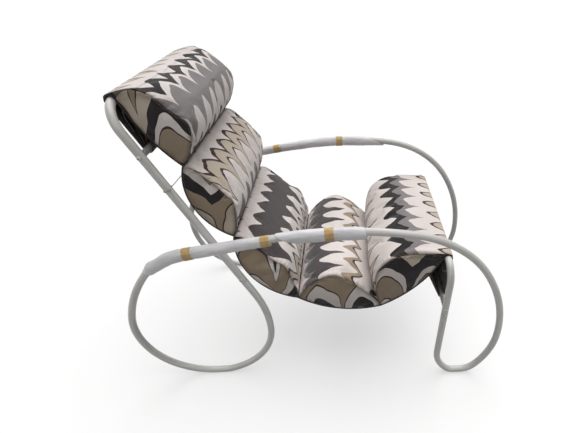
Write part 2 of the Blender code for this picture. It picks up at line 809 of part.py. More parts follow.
def build_sleeves(arm_lines, parent):
    """Rear and front sleeves with three tape bands on each arm."""
    layouts = {
        "right": (REAR_SLEEVE_LENGTH, SLEEVE_BARE_GAP, FRONT_SLEEVE_LENGTH, FRONT_TAPE_SETBACK,
                  FRONT_FULLNESS_SHARES),
        "left": (LEFT_REAR_SLEEVE_LENGTH, LEFT_SLEEVE_BARE_GAP, LEFT_FRONT_SLEEVE_LENGTH,
                 LEFT_FRONT_TAPE_SETBACK, LEFT_FRONT_FULLNESS_SHARES),
    }
    for side, sign in SIDES:
        rear_length, bare_gap, front_length, front_tape_setback, front_shares = layouts[side]
        line = arm_lines[side]
        out = Vector((0, sign, 0))
        arm_start = line.marks[ARM_LEAD_POINTS]
        rear_start = arm_start - REAR_SLEEVE_BEFORE_ARM
        rear_end = rear_start + rear_length
        rear_tapes = {
            "rear_tape_" + side: rear_start + REAR_TAPE_SETBACK,
            "middle_tape_" + side: rear_end - JOIN_TAPE_SETBACK,
        }
        build_sleeve("rear_arm_sleeve_" + side, line, rear_start, rear_length,
                     REAR_FULLNESS_SHARES, rear_tapes, out, parent)
        front_start = rear_end + bare_gap
        front_tapes = {"front_tape_" + side: front_start + front_tape_setback}
        build_sleeve("front_arm_sleeve_" + side, line, front_start, front_length,
                     front_shares, front_tapes, out, parent)


# Tie cords


def build_ties(frame, arcs, parent):
    """A thin cord looped round each back tube and led to the sling's edge."""
    place = frame["head_rod"] - frame["back_way"] * TIE_BELOW_ROD
    target, _ = arcs[1][round(ARC_STEPS * TIE_SEAM_SHARE)]
    reach = half_width(1 + TIE_SEAM_SHARE) + CORD_RADIUS + FIT_GAP
    loop_radius = TUBE_RADIUS / math.cos(math.pi / TUBE_SIDES) + FIT_GAP + CORD_RADIUS
    rise = 2 * CORD_RADIUS + 2 * FIT_GAP
    along = in_space(frame["back_way"], 0)
    ahead = Vector((along.z, 0, -along.x))
    for side, sign in SIDES:
        centre = in_space(place, frame["back_plane"] * sign)
        out = Vector((0, sign, 0))
        points = []
        for k in range(TIE_LOOP_STEPS + 1):
            share = k / TIE_LOOP_STEPS
            angle = 2 * math.pi * TIE_TURNS * (share - 1)
            round_tube = ahead * math.cos(angle) + out * math.sin(angle)
            points.append(centre + round_tube * loop_radius + along * rise * share)
        end = in_space(target, reach * sign)
        points.append(points[-1].lerp(end, TIE_MIDDLE_SHARE))
        points.append(end)
        cord = bpy.data.curves.new("tie_cord_" + side, "CURVE")
        cord.dimensions = "3D"
        cord.bevel_depth = CORD_RADIUS
        cord.bevel_resolution = 2
        cord.use_fill_caps = True
        spline = cord.splines.new("POLY")
        spline.points.add(len(points) - 1)
        for knot, point in zip(spline.points, points):
            knot.co = (*point, 1)
        place_object("tie_cord_" + side, cord, "tie_cord", parent)


def clear_scene():
    """Start from an empty file."""
    for leftover in list(bpy.data.objects):
        bpy.data.objects.remove(leftover, do_unlink=True)


def build_chair():
    """Everything, hung from one empty at the origin."""
    clear_scene()
    chair = bpy.data.objects.new("lounge_chair", None)
    bpy.context.collection.objects.link(chair)
    frame = build_frame(chair)
    path, arcs = lay_sling(frame)
    build_sling(path, chair)
    build_rolls(arcs, chair)
    build_sleeves(frame["arm_lines"], chair)
    build_ties(frame, arcs, chair)


build_chair()
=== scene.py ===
"""Looks of the lounge chair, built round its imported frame.

Everything is in metres in the frame's own axes: +X is the way the sitter faces, +Z is up.
"""

import math

import bmesh
import bpy
import numpy as np
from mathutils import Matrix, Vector, noise
from mathutils.kdtree import KDTree


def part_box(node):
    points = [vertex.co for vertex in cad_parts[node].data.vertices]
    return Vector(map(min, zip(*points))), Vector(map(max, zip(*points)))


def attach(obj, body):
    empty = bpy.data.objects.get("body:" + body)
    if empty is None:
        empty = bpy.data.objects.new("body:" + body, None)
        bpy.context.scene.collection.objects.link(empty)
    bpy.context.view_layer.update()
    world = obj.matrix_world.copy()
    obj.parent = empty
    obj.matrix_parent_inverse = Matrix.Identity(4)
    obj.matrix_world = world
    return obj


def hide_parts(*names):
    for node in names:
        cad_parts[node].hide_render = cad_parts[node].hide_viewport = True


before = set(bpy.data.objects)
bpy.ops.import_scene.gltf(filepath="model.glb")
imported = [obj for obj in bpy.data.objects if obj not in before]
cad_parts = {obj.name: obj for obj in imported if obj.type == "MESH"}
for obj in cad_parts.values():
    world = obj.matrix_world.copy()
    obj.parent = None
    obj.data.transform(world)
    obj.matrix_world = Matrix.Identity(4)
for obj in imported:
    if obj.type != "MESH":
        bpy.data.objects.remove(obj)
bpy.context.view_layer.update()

SIDES = (("right", -1), ("left", 1))

# Tube stock and the planes of the side frames
TUBE_RADIUS = 0.010
ROD_RADIUS = 0.008
ARM_PLANE = 0.275
CROSSING_GAP = 0.007
FIT_GAP = 0.0003
BEND_STEP = 0.004
BEND_TURN = math.radians(3)
TUBE_SIDES = 28

# The solids' bars have twelve flats, and the sling lies over their corners
SOLID_SIDES = 12
TO_CORNER = 1 / math.cos(math.pi / SOLID_SIDES)

# Bend tables: (centre line radius, turn in degrees), from each foot outwards
REAR_FOOT_RUN = 0.030
REAR_RISE = ((0.060, 13.5), (0.200, 74.5), (0.348, 25.5))
LOOP_RETURN = ((0.193, 65.5), (0.227, 40.5), (0.474, 27.0), (0.172, 37.0))
ARM_RUN = 0.251
ARM_FALL = ((0.998, 19.0), (0.316, 47.5))
NOSE_BENDS = ((0.257, 34.0), (0.058, 56.0))
NOSE_RUN = 0.020
LEG_BENDS = ((0.035, 42.0), (0.113, 48.0))

# Hoops and joints
BACK_RUN = 0.526
BACK_CORNER = 0.060
LEG_TOP = 0.395
LEG_CORNER = 0.050
BACK_JOINT_RISE = 0.050
ARM_JOINT_SETBACK = 0.050
LEG_JOINT_DROP = 0.133
JOINT_SCREW_SETBACK = 0.015
HEAD_ROD_DROP = 0.060
FRONT_ROD_DROP = 0.091
JOINT_GROOVE = 0.0007
JOINT_GROOVE_REACH = 0.0012
SCREW_HEAD_RADIUS = 0.0055
SCREW_HEAD_HEIGHT = 0.0030
SCREW_SIDES = 24
SCREW_PROFILE = ((1.0, 0.0), (1.0, 0.30), (0.96, 0.55), (0.84, 0.80), (0.66, 0.95), (0.52, 1.0))
SOCKET_SHARE = 0.42
SOCKET_FLOOR_SHARE = 0.35

# Cells and creases of the meshes
ROD_POINTS = 60
HOOP_RUN_STEPS = 40
HOOP_BEND_STEPS = 30
BAR_CREASE_ANGLE = math.radians(40)
SCREW_CREASE_ANGLE = math.radians(35)
CLOTH_CREASE_ANGLE = math.radians(50)
WELD_DIGITS = 7
SMALLEST_FACE = 1e-12

# Sling
SLING_THICKNESS = 0.0025
SLING_TOP_WIDTH = 0.376
SLING_SEAT_WIDTH = 0.446
SEAM_PLACE_SHARES = ((0.144, 0.354), (0.250, 0.832), (0.448, 1.334), (0.767, 1.414))
SEAM_WIDTH_SHARES = (0.55, 0.47, 0.43, 0.85, 1.0, 1.0)
HEAD_LANDING_SHARE = 0.6
KNEE_LANDING_SHARE = 0.7
SETTLING_PASSES = 40
SLING_STEPS = 24
WRAP_STEP = math.radians(6)
SLING_CELL = 0.006
SLING_SMALLEST_CELL = 0.0008
SLING_COLUMNS = 20
SLING_HEM_COLUMNS = 2

# Rolls, from the head down: name, sag of the underside, height of the crown
ROLLS = (
    ("head_roll", 0.011, 0.104),
    ("back_roll", 0.045, 0.110),
    ("lumbar_roll", 0.058, 0.104),
    ("seat_roll", 0.029, 0.140),
    ("knee_roll", 0.022, 0.146),
)

# Crowns, in the same order: share where it is highest, fullness before and after that, swell and its share
CROWN_SHAPES = (
    (0.52, 1.6, 1.8, 0.014, 0.72),
    (0.52, 1.6, 1.8, 0.009, 0.70),
    (0.53, 1.6, 1.8, 0.016, 0.68),
    (0.38, 2.4, 1.4, 0.007, 0.32),
    (0.50, 1.8, 1.6, 0.0, 0.5),
)
CROWN_SWELL_REACH = 0.22
CROWN_FLATNESS = 2.4

# Form and cells of every roll
HEAD_OVERHANG = 0.45
ROLL_EDGE_INSET = 0.001
ROLL_SEAM_HEIGHT = 0.014
ROLL_SEAM_GAP = 0.001
ROLL_DRAW_IN = 0.014
ROLL_DRAW_POWER = 7
ROLL_END_BULGE = 0.008
PANEL_DOME_POWER = 0.45
NORMAL_BLEND_SHARE = 0.35
PANEL_CELLS = 22
WALL_CELLS = 3
WIDTH_CELLS = 76
WIDTH_CROWDING_SHARE = 0.86
CLOTH_STEP_SHARE = 0.72
SEWN_REACH = 0.0006
RIM_CREASE = 0.45
RIM_MARKS = 4

# Foam sleeves and tape on the arms
SLEEVE_SIDE_WALL = 0.005
SLEEVE_TOP_WALL = 0.002
SLEEVE_SAG_WALL = 0.014
REAR_SLEEVE_BEFORE_ARM = 0.128
REAR_SLEEVE_LENGTH = 0.356
SLEEVE_BARE_GAP = 0.015
FRONT_SLEEVE_LENGTH = 0.227
REAR_FULLNESS_SHARES = ((0.0, 0.5), (0.08, 0.9), (0.2, 1.0), (0.4, 0.95), (0.75, 0.65), (1.0, 0.6))
FRONT_FULLNESS_SHARES = ((0.0, 0.75), (0.15, 1.0), (0.6, 1.0), (0.85, 0.95), (1.0, 0.75))
LEFT_REAR_SLEEVE_LENGTH = 0.3085
LEFT_SLEEVE_BARE_GAP = 0.005
LEFT_FRONT_SLEEVE_LENGTH = 0.3745
LEFT_FRONT_FULLNESS_SHARES = ((0.0, 0.6), (0.15, 0.75), (0.55, 0.95), (0.8, 0.9), (1.0, 0.4))
SLANT_FADE = 0.090
REAR_SLANTS = (0.010, 0.0)
FRONT_SLANTS = (0.046, 0.008)
LEFT_FRONT_SLANTS = (-0.004, 0.060)
TAPE_WIDTH = 0.023
REAR_TAPE_SETBACK = 0.1415
JOIN_TAPE_SETBACK = 0.0125
FRONT_TAPE_SETBACK = 0.1325
LEFT_FRONT_TAPE_SETBACK = 0.211

# Tie cords
CORD_RADIUS = 0.001
CORD_SIDES = 10
TIE_BELOW_ROD = 0.092
TIE_SEAM_SHARE = 0.1
TIE_TURNS = 0.92
TIE_LOOP_POINTS = 90
TIE_RUN_POINTS = 16
KNOT_SWELL = 0.0010
KNOT_PLACE = 0.0028
KNOT_REACH = 0.0016

# Puffing of the rolls by cloth simulation
PUFF_FRAMES = 20
PUFF_PRESSURE = 4.0
PUFF_START_INSET = 0.005
PUFF_CAP = 0.011
CONTACT_GAP = 0.0005
PUFF_SETTINGS = {
    "quality": 5,
    "mass": 0.25,
    "tension_stiffness": 14,
    "compression_stiffness": 14,
    "shear_stiffness": 6,
    "bending_stiffness": 0.6,
    "use_pressure": True,
    "uniform_pressure_force": PUFF_PRESSURE,
    "shrink_min": -0.025,
}

# Gathers beside the seams
SEAM_PUCKER = 0.0034
PUCKER_SPACING = 0.021
PUCKER_REACH = 0.062
PUCKER_BASE = 0.005
RIM_PUCKER = 0.0012
RIM_PUCKER_REACH = 0.006
RIM_PUCKER_CELLS = 3.4
PUCKER_END = 0.012
PUCKER_WANDER = 5
PUCKER_SEED = 2.3
PUCKER_WANDER_RUN = 16
RIM_WANDER_RUN = 0.31

# Wrap cloth over the two bars
LEAD_WRAP = 0.9
LEAD_GAP = 0.0006
LEAD_THICKNESS = 0.0011
LEAD_BULGE = 0.0020
LEAD_TUCK = 2
LEAD_EDGE_SHARE = 0.15
LEAD_CELLS = 26
LEAD_BAR_POINTS = 8
LEAD_BRIDGE_POINTS = 9

# Patterns of the cloths, and the reach of the painted shade beside their seams
TOOTH_SWING_SHARE = 0.45
SIDE_FOLD_SHARE = 0.12
SIDE_FOLD_SHIFT_SHARE = 0.27
BAND_WOBBLE = 0.010
WEAVE_PITCH = 0.0016
BINDING_PITCH = 0.0014
TWINE_PITCH = 0.002
STITCH_PITCH = 0.0042
STITCH_SHARE = 0.64
STITCH_INSET = 0.0032
STITCH_HALF_WIDTH = 0.00045
# How far the painted shade beside the seams reaches
SEAM_SHADE_REACH = 0.012
RIM_GATHERS = ((26.0, 120.0, 1.0), 0.020)
SEAM_GATHERS = ((80.0, 16.0, 1.0), 0.048)
FAR_FROM_SEAM = 1.0

# Wrinkles of the foam and edges of the tape
WRINKLE_ROUND = 1.6
WRINKLE_RUN = 22
WRINKLE_FINER = 2.7
TAPE_FOLDS = 9
PINCH_SHARE = 0.7
LONG_CREASE = 0.0011
SHORT_CREASE = 0.0005
TAPE_FOLD = 0.0005
TAPE_PINCH = 0.0011
TAPE_PINCH_REACH = 0.014
KNUCKLE_BULGE = 0.0036
KNUCKLE_BULGE_PLACE = 0.026
KNUCKLE_DENT = 0.0016
KNUCKLE_DENT_PLACE = 0.056
KNUCKLE_REACH = 0.012
SLEEVE_SIDES = 40
REAR_SEED = 3.1
FRONT_SEED = 8.7
SLEEVE_FRAY = 0.0016
SLEEVE_FRAY_PITCH = 0.35
SLEEVE_LIP_MARKS = (0.0, 0.002, 0.004)
TAPE_FRAY = 0.0007
TAPE_FRAY_PITCH = 0.9
TAPE_POINTS = 12
TAPE_LAP = 0.0004
TAPE_LAP_SHARES = (0.62, 0.9)
TAPE_FACES = (0.0007, 0.0002)
SLEEVE_STEP = 0.0025

# Studio
SUN_LIGHT = 2.75
SUN_WAY = (-0.10, -0.34, -1.0)
SUN_SPREAD = math.radians(75)
NEAR_LIGHT = 5.0
NEAR_LIGHT_SIZE = 0.9
NEAR_LIGHT_PLACE = (-0.9, -2.2, 1.9)
NEAR_LIGHT_AIM = (0, 0, 0.4)
WORLD_LIGHT = 0.28
FLOOR_SIZE = 40
FLOOR_BOUNCE_SCREEN = (138, 138, 137)
FLOOR_GLOW_SHARE = 0.55
FLOOR_SEEN = ((0.95, 0.95, 0.945), (0.97, 0.97, 0.965))

# Camera
CAMERA_PLACE = (0.084815, -1.033419, 1.158360)
CAMERA_DROP = 0.6096683
CAMERA_SWING = -0.02441
CAMERA_LENS = 24.30
CAMERA_SENSOR = 36
CAMERA_SHIFT = -0.1128


# Lines and meshes


def way(heading):
    """Unit vector of a heading in radians."""
    return np.array([math.cos(heading), math.sin(heading)])


def left(heading):
    """Unit vector a quarter turn to the left of a heading."""
    return np.array([-math.sin(heading), math.cos(heading)])


def heading_of(step):
    """Heading of a step in the side plane, in radians."""
    return math.atan2(step[1], step[0])


def in_space(points, planes):
    """Points of the side plane, each at its distance to the left of the middle."""
    x, z = np.moveaxis(np.asarray(points, float), -1, 0)
    return np.stack(np.broadcast_arrays(x, planes, z), axis=-1)


class Walk:
    """Follows a tube's centre line in the side plane, by straights and bends."""

    def __init__(self, start, degrees):
        self.points = [np.array(start, float)]
        self.heading = math.radians(degrees)

    def straight(self, length):
        steps = max(1, math.ceil(length / (BEND_STEP * 2)))
        start = self.points[-1]
        self.points += [start + way(self.heading) * length * k / steps for k in range(1, steps + 1)]

    def bend(self, radius, degrees):
        turn = math.radians(degrees)
        side = math.copysign(1, turn)
        centre = self.points[-1] + left(self.heading) * radius * side
        steps = math.ceil(max(radius / BEND_STEP, 1 / BEND_TURN) * abs(turn))
        for k in range(1, steps + 1):
            heading = self.heading + turn * k / steps
            self.points.append(centre - left(heading) * radius * side)
        self.heading += turn

    def bends(self, table, sense):
        """The bends of a table, to the left with sense 1 and to the right with sense -1."""
        for radius, degrees in table:
            self.bend(radius, sense * degrees)


class Line:
    """A polyline in space that gives its place at any distance along it."""

    def __init__(self, points):
        self.points = np.array(points, float)
        steps = np.linalg.norm(np.diff(self.points, axis=0), axis=1)
        self.marks = np.concatenate(([0.0], np.cumsum(steps)))
        self.length = self.marks[-1]

    def at(self, distances):
        return np.stack([np.interp(distances, self.marks, axis) for axis in self.points.T], axis=-1)


def unit(vectors):
    """Vectors of the same headings and length one."""
    return vectors / np.linalg.norm(vectors, axis=-1, keepdims=True)


def carried_frames(points, hint):
    """Along, side and up vectors at each point; the side vector is carried on from the last."""
    along = unit(np.gradient(points, axis=0))
    side = np.array(hint, float)
    sides = []
    for forward in along:
        side = side - forward * np.dot(side, forward)
        side = side / np.linalg.norm(side)
        sides.append(side)
    sides = np.array(sides)
    return along, sides, np.cross(along, sides)


def weld_patches(name, patches, finishes):
    """One closed mesh from grids: each is (points, cloth coordinates, material number)."""
    corners, faces, coordinates, numbers = [], [], [], []
    count = 0
    for points, cloth, number in patches:
        rows, columns = points.shape[:2]
        index = np.arange(rows * columns).reshape(rows, columns)
        quads = np.stack([index[:-1, :-1], index[:-1, 1:], index[1:, 1:], index[1:, :-1]], axis=-1)
        quads = quads.reshape(-1, 4)
        faces.append(quads + count)
        coordinates.append(cloth.reshape(-1, 2)[quads])
        numbers.append(np.full(len(quads), number))
        corners.append(points.reshape(-1, 3))
        count += rows * columns
    corners = np.concatenate(corners)
    _, first, same = np.unique(np.round(corners, WELD_DIGITS), axis=0, return_index=True, return_inverse=True)
    order = np.argsort(first)
    place = np.empty(len(order), int)
    place[order] = np.arange(len(order))
    quads = place[same.reshape(-1)][np.concatenate(faces)]
    apart = quads != np.roll(quads, 1, axis=1)
    whole = apart.sum(axis=1) > 2
    apart = apart[whole]
    mesh = bpy.data.meshes.new(name)
    shapes = [quad[kept].tolist() for quad, kept in zip(quads[whole], apart)]
    mesh.from_pydata(corners[first[order]].tolist(), [], shapes)
    layer = mesh.uv_layers.new(name="cloth")
    layer.data.foreach_set("uv", np.concatenate(coordinates)[whole][apart].astype(np.float32).ravel())
    mesh.polygons.foreach_set("material_index", np.concatenate(numbers)[whole].astype(np.int32))
    bm = bmesh.new()
    bm.from_mesh(mesh)
    flat = [face for face in bm.faces if face.calc_area() < SMALLEST_FACE]
    bmesh.ops.delete(bm, geom=flat, context="FACES_ONLY")
    bmesh.ops.recalc_face_normals(bm, faces=bm.faces)
    bm.to_mesh(mesh)
    bm.free()
    mesh.shade_smooth()
    piece = bpy.data.objects.new(name, mesh)
    bpy.context.scene.collection.objects.link(piece)
    for finish in finishes:
        mesh.materials.append(finish)
    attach(piece, "root")
    return piece


def swept(rings, lengths):
    """A grid of closed rings with its cloth coordinates: round the ring, then along."""
    rings = np.asarray(rings, float)
    closed = np.concatenate([rings, rings[:, :1]], axis=1)
    steps = np.linalg.norm(np.diff(closed, axis=1), axis=2)
    around = np.concatenate([np.zeros((len(rings), 1)), np.cumsum(steps, axis=1)], axis=1)
    along = np.repeat(np.asarray(lengths)[:, None], closed.shape[1], axis=1)
    return closed, np.stack([around, along], axis=-1)


def circle(count):
    """Angles of evenly spaced points round a circle."""
    return np.linspace(0, 2 * math.pi, count, endpoint=False)


def disc(ring):
    """A grid that fills one ring, from its rim to its middle."""
    ring = np.concatenate([ring, ring[:1]])
    middle = ring[:-1].mean(axis=0)
    grid = np.stack([ring, (ring + middle) / 2, np.broadcast_to(middle, ring.shape)])
    return grid, (grid - middle)[..., [0, 2]]


def capped(rings, lengths):
    """The patches of a solid bar: its side and a disc at each end."""
    return [(*swept(rings, lengths), 0), *[(*disc(rings[end]), 0) for end in (0, -1)]]


def round_bar(name, points, radii, hint, finish, sides=TUBE_SIDES):
    """A round bar along a line of points, closed at both ends."""
    points = np.asarray(points, float)
    _, side, up = carried_frames(points, hint)
    radii = np.broadcast_to(radii, len(points))
    angles = circle(sides)
    ring = side[:, None] * np.cos(angles)[None, :, None] + up[:, None] * np.sin(angles)[None, :, None]
    rings = points[:, None] + ring * radii[:, None, None]
    piece = weld_patches(name, capped(rings, Line(points).marks), [finish])
    piece.data.set_sharp_from_angle(angle=BAR_CREASE_ANGLE)
    return piece


def mesh_points(mesh):
    """Places of a mesh's vertices."""
    flat = np.empty(len(mesh.vertices) * 3)
    mesh.vertices.foreach_get("co", flat)
    return flat.reshape(-1, 3)


def move_points(mesh, points):
    """Move a mesh's vertices to new places."""
    mesh.vertices.foreach_set("co", points.astype(np.float32).ravel())
    mesh.update()


def store(mesh, name, values):
    """A number for each vertex, for the finishes to read."""
    mesh.attributes.new(name, "FLOAT", "POINT").data.foreach_set("value", np.asarray(values, np.float32))


# Materials


def tint(red, green, blue):
    """Linear colour of an ordinary screen colour."""
    return tuple((c / 255 / 12.92 if c <= 10 else ((c / 255 + 0.055) / 1.055) ** 2.4)
                 for c in (red, green, blue)) + (1.0,)


class Finish:
    """A Principled material, with short ways to add nodes to it."""

    def __init__(self, name, values):
        self.material = bpy.data.materials.new(name)
        self.material.use_nodes = True
        self.tree = self.material.node_tree
        self.shader = self.tree.nodes["Principled BSDF"]
        for socket, value in values.items():
            self.shader.inputs[socket].default_value = value

    def feed(self, socket, value):
        if isinstance(value, bpy.types.NodeSocket):
            self.tree.links.new(value, socket)
        else:
            socket.default_value = value

    def add(self, kind, inputs=None, **settings):
        made = self.tree.nodes.new(kind)
        for key, value in settings.items():
            setattr(made, key, value)
        for key, value in (inputs or {}).items():
            self.feed(made.inputs[key], value)
        return made

    def operate(self, kind, operation, values):
        made = self.add(kind, operation=operation)
        for socket, value in zip(made.inputs, values):
            self.feed(socket, value)
        return made.outputs[0]

    def maths(self, operation, *values):
        return self.operate("ShaderNodeMath", operation, values)

    def vector(self, operation, *values):
        return self.operate("ShaderNodeVectorMath", operation, values)

    def wave(self, value, length):
        """Sine of a distance, with a given wave length."""
        return self.maths("SINE", self.maths("MULTIPLY", value, 2 * math.pi / length))

    def cloth(self):
        return self.add("ShaderNodeUVMap", uv_map="cloth").outputs["UV"]

    def split(self, vector):
        parts = self.add("ShaderNodeSeparateXYZ", {"Vector": vector}).outputs
        return parts["X"], parts["Y"]

    def place(self, kind="Object"):
        return self.add("ShaderNodeTexCoord").outputs[kind]

    def noise(self, scale, detail=2.0, where=None, roughness=0.5):
        made = self.add("ShaderNodeTexNoise", {"Scale": scale, "Detail": detail, "Roughness": roughness})
        self.feed(made.inputs["Vector"], where or self.place())
        return made.outputs["Fac"]

    def ramp(self, value, stops, interpolation="LINEAR"):
        made = self.add("ShaderNodeValToRGB", {"Fac": value})
        colours = made.color_ramp
        colours.interpolation = interpolation
        while len(colours.elements) < len(stops):
            colours.elements.new(1.0)
        for element, (position, colour) in zip(colours.elements, stops):
            element.position = position
            element.color = colour
        return made.outputs["Color"]

    def shade(self, value, stops):
        """Ramp between screen colours."""
        return self.ramp(value, [(position, tint(*colour)) for position, colour in stops])

    def dim(self, share, colour, value, stops):
        """The colour multiplied by a ramp of screen colours, by a share."""
        return self.mix(share, colour, self.shade(value, stops), "MULTIPLY")

    def drawn(self, cloth, scale, detail, roughness=0.5):
        """Noise that is stretched differently across and along the cloth."""
        spots = self.add("ShaderNodeMapping", {"Vector": cloth, "Scale": scale}).outputs[0]
        return self.noise(1.0, detail, spots, roughness)

    def mix(self, share, first, second, blend="MIX"):
        made = self.add("ShaderNodeMix", data_type="RGBA", blend_type=blend)
        self.feed(made.inputs[0], share)
        self.feed(made.inputs[6], first)
        self.feed(made.inputs[7], second)
        return made.outputs[2]

    def bump(self, height, distance, strength=1.0, under=None):
        made = self.add("ShaderNodeBump", {"Height": height, "Distance": distance, "Strength": strength})
        if under is not None:
            self.feed(made.inputs["Normal"], under)
        return made.outputs["Normal"]

    def set(self, socket, value):
        self.feed(self.shader.inputs[socket], value)

    def done(self, colour, normal, rough=None):
        """The material with its colour and relief, and with roughness as value, share and least."""
        self.set("Base Color", colour)
        self.set("Normal", normal)
        if rough:
            self.set("Roughness", self.maths("MULTIPLY_ADD", *rough))
        return self.material


WHITE = (255, 255, 255)
CREAM = tint(233, 224, 220)
BEIGE = tint(202, 188, 172)
TAN = tint(164, 146, 126)
GREY = tint(138, 132, 133)
CHARCOAL = tint(78, 71, 72)
BLACK = tint(28, 23, 23)
BROWN = tint(60, 44, 38)

# Bands of the wrap cloth along one repeat: colour and width in millimetres
WRAP_BANDS = (
    (CREAM, 66), (BROWN, 10), (BEIGE, 30), (BROWN, 10), (CREAM, 62), (CHARCOAL, 86), (CREAM, 70),
    (GREY, 58), (CREAM, 20), (BLACK, 34), (CREAM, 76), (BROWN, 9), (TAN, 26), (CREAM, 72),
    (CHARCOAL, 60), (GREY, 22), (CREAM, 74), (BROWN, 10), (BEIGE, 36), (BROWN, 10), (CREAM, 66),
    (GREY, 30), (BLACK, 46), (CREAM, 40),
)
PANEL_BANDS = (
    (TAN, 66), (BROWN, 7), (CREAM, 26), (BLACK, 54), (BEIGE, 62), (BROWN, 7), (TAN, 48), (BLACK, 40),
    (CREAM, 44), (BROWN, 6), (TAN, 22),
)
# Bands of the sling's print: its dark colours are partly the print's own and partly painted shade, for the
# sling that lies in shade under the rolls.
SLING_BANDS = (
    (BROWN, 30), (BLACK, 34), (TAN, 10), (BROWN, 22), (GREY, 9), (BLACK, 30), (BEIGE, 6), (BLACK, 20),
)


def band_stops(bands):
    """Ramp stops of a row of bands, and the length of one repeat."""
    total = sum(width for _, width in bands)
    stops, place = [], 0
    for colour, width in bands:
        stops.append((place / total, colour))
        place += width
    return stops, total / 1000


def flame_bands(finish, cloth, bands, period, tooth, sway):
    """Zigzag bands of flame stitch: pointed arches across the cloth, whose height sways along it."""
    wobble = finish.add("ShaderNodeTexNoise", {"Vector": cloth, "Scale": 24.0, "Detail": 0.0})
    wobble = finish.vector("SUBTRACT", wobble.outputs["Color"], (0.5, 0.5, 0.5))
    wobble = finish.vector("MULTIPLY", wobble, (BAND_WOBBLE, BAND_WOBBLE, BAND_WOBBLE))
    across, along = finish.split(finish.vector("ADD", cloth, wobble))
    turn = finish.maths("FRACT", finish.maths("DIVIDE", across, period))
    arch = finish.maths("SINE", finish.maths("MULTIPLY", turn, math.pi))
    peak = finish.maths("SUBTRACT", 1.0, arch)
    half_turn = finish.maths("FRACT", finish.maths("MULTIPLY_ADD", across, 2 / period, SIDE_FOLD_SHIFT_SHARE))
    side_fold = finish.maths("ABSOLUTE", finish.maths("MULTIPLY_ADD", half_turn, 2.0, -1.0))
    height = finish.maths("MULTIPLY_ADD", finish.wave(along, sway), tooth * TOOTH_SWING_SHARE, tooth)
    lift = finish.maths("MULTIPLY", peak, height)
    lift = finish.maths("MULTIPLY_ADD", side_fold, tooth * SIDE_FOLD_SHARE, lift)
    stops, repeat = band_stops(bands)
    turns = finish.maths("FRACT", finish.maths("DIVIDE", finish.maths("ADD", along, lift), repeat))
    return finish.ramp(turns, stops, "CONSTANT")


def stitches(finish, along, rim):
    """A row of thread dashes beside the end seams."""
    dash = finish.maths("FRACT", finish.maths("DIVIDE", along, STITCH_PITCH))
    dash = finish.maths("LESS_THAN", dash, STITCH_SHARE)
    row = finish.maths("ABSOLUTE", finish.maths("SUBTRACT", rim, STITCH_INSET))
    row = finish.maths("LESS_THAN", row, STITCH_HALF_WIDTH)
    return finish.maths("MULTIPLY", dash, row)


def cloth_relief(finish, cloth, fleck, seams, stitch):
    """Weave, flecks, gathers beside the seams, slack and thread, one over the other."""
    weave = finish.maths("MULTIPLY", *[finish.wave(place, WEAVE_PITCH) for place in finish.split(cloth)])
    normal = finish.bump(weave, 0.00022, 0.5)
    normal = finish.bump(fleck, 0.0004, 0.35, normal)
    for distance, (spacing, reach) in zip(seams, (RIM_GATHERS, SEAM_GATHERS)):
        gather = finish.drawn(cloth, spacing, 2.0, 0.6)
        limits = {"Value": distance, "From Min": 0.0, "From Max": reach, "To Min": 1.0, "To Max": 0.0}
        near = finish.add("ShaderNodeMapRange", limits, interpolation_type="SMOOTHSTEP").outputs[0]
        normal = finish.bump(finish.maths("MULTIPLY", gather, near), 0.0070, 0.9, normal)
    slack = finish.noise(13.0, 2.0, finish.place(), 0.45)
    normal = finish.bump(slack, 0.010, 0.35, normal)
    return finish.bump(stitch, 0.0005, 0.8, normal)


def flame_cloth(name, bands, period, tooth, sway):
    """Woven cloth with flame stitch, laid out by its cloth coordinates, with painted shade that darkens it
    beside its seams.
    """
    finish = Finish(name, {"Sheen Weight": 0.25, "Sheen Roughness": 0.5, "Specular IOR Level": 0.25})
    cloth = finish.cloth()
    seams = [finish.add("ShaderNodeAttribute", attribute_name=mark).outputs["Fac"]
             for mark in ("rim", "seam")]
    fleck = finish.noise(420.0, 3.0, cloth, 0.7)
    stitch = stitches(finish, finish.split(cloth)[1], seams[0])
    colour = flame_bands(finish, cloth, bands, period, tooth, sway)
    colour = finish.dim(0.55, colour, fleck, ((0.30, (212, 212, 212)), (0.62, WHITE)))
    colour = finish.dim(0.5, colour, finish.noise(9.0), ((0.3, (238, 235, 232)), (0.65, WHITE)))
    # Painted shade: the colour darkens towards the end seams and the seams across the sling, most of all
    # right at them, where the creases lie in shade.
    edge = finish.maths("DIVIDE", finish.maths("MINIMUM", *seams), SEAM_SHADE_REACH)
    colour = finish.dim(0.85, colour, edge, ((0.0, (96, 88, 82)), (0.16, (196, 190, 186)), (0.9, WHITE)))
    colour = finish.mix(finish.maths("MULTIPLY", stitch, 0.55), colour, tint(140, 126, 114))
    return finish.done(colour, cloth_relief(finish, cloth, fleck, seams, stitch), (fleck, 0.18, 0.76))


def binding():
    """Dark woven tape that binds the sling's edges."""
    finish = Finish("edge_binding", {"Roughness": 0.85, "Sheen Weight": 0.2, "Specular IOR Level": 0.25})
    rib = finish.wave(finish.maths("ADD", *finish.split(finish.cloth())), BINDING_PITCH)
    wear = finish.noise(30.0, 3.0)
    colour = finish.shade(wear, ((0.3, (40, 33, 30)), (0.75, (66, 56, 50))))
    return finish.done(colour, finish.bump(rib, 0.0002, 0.6, finish.bump(wear, 0.001, 0.3)))


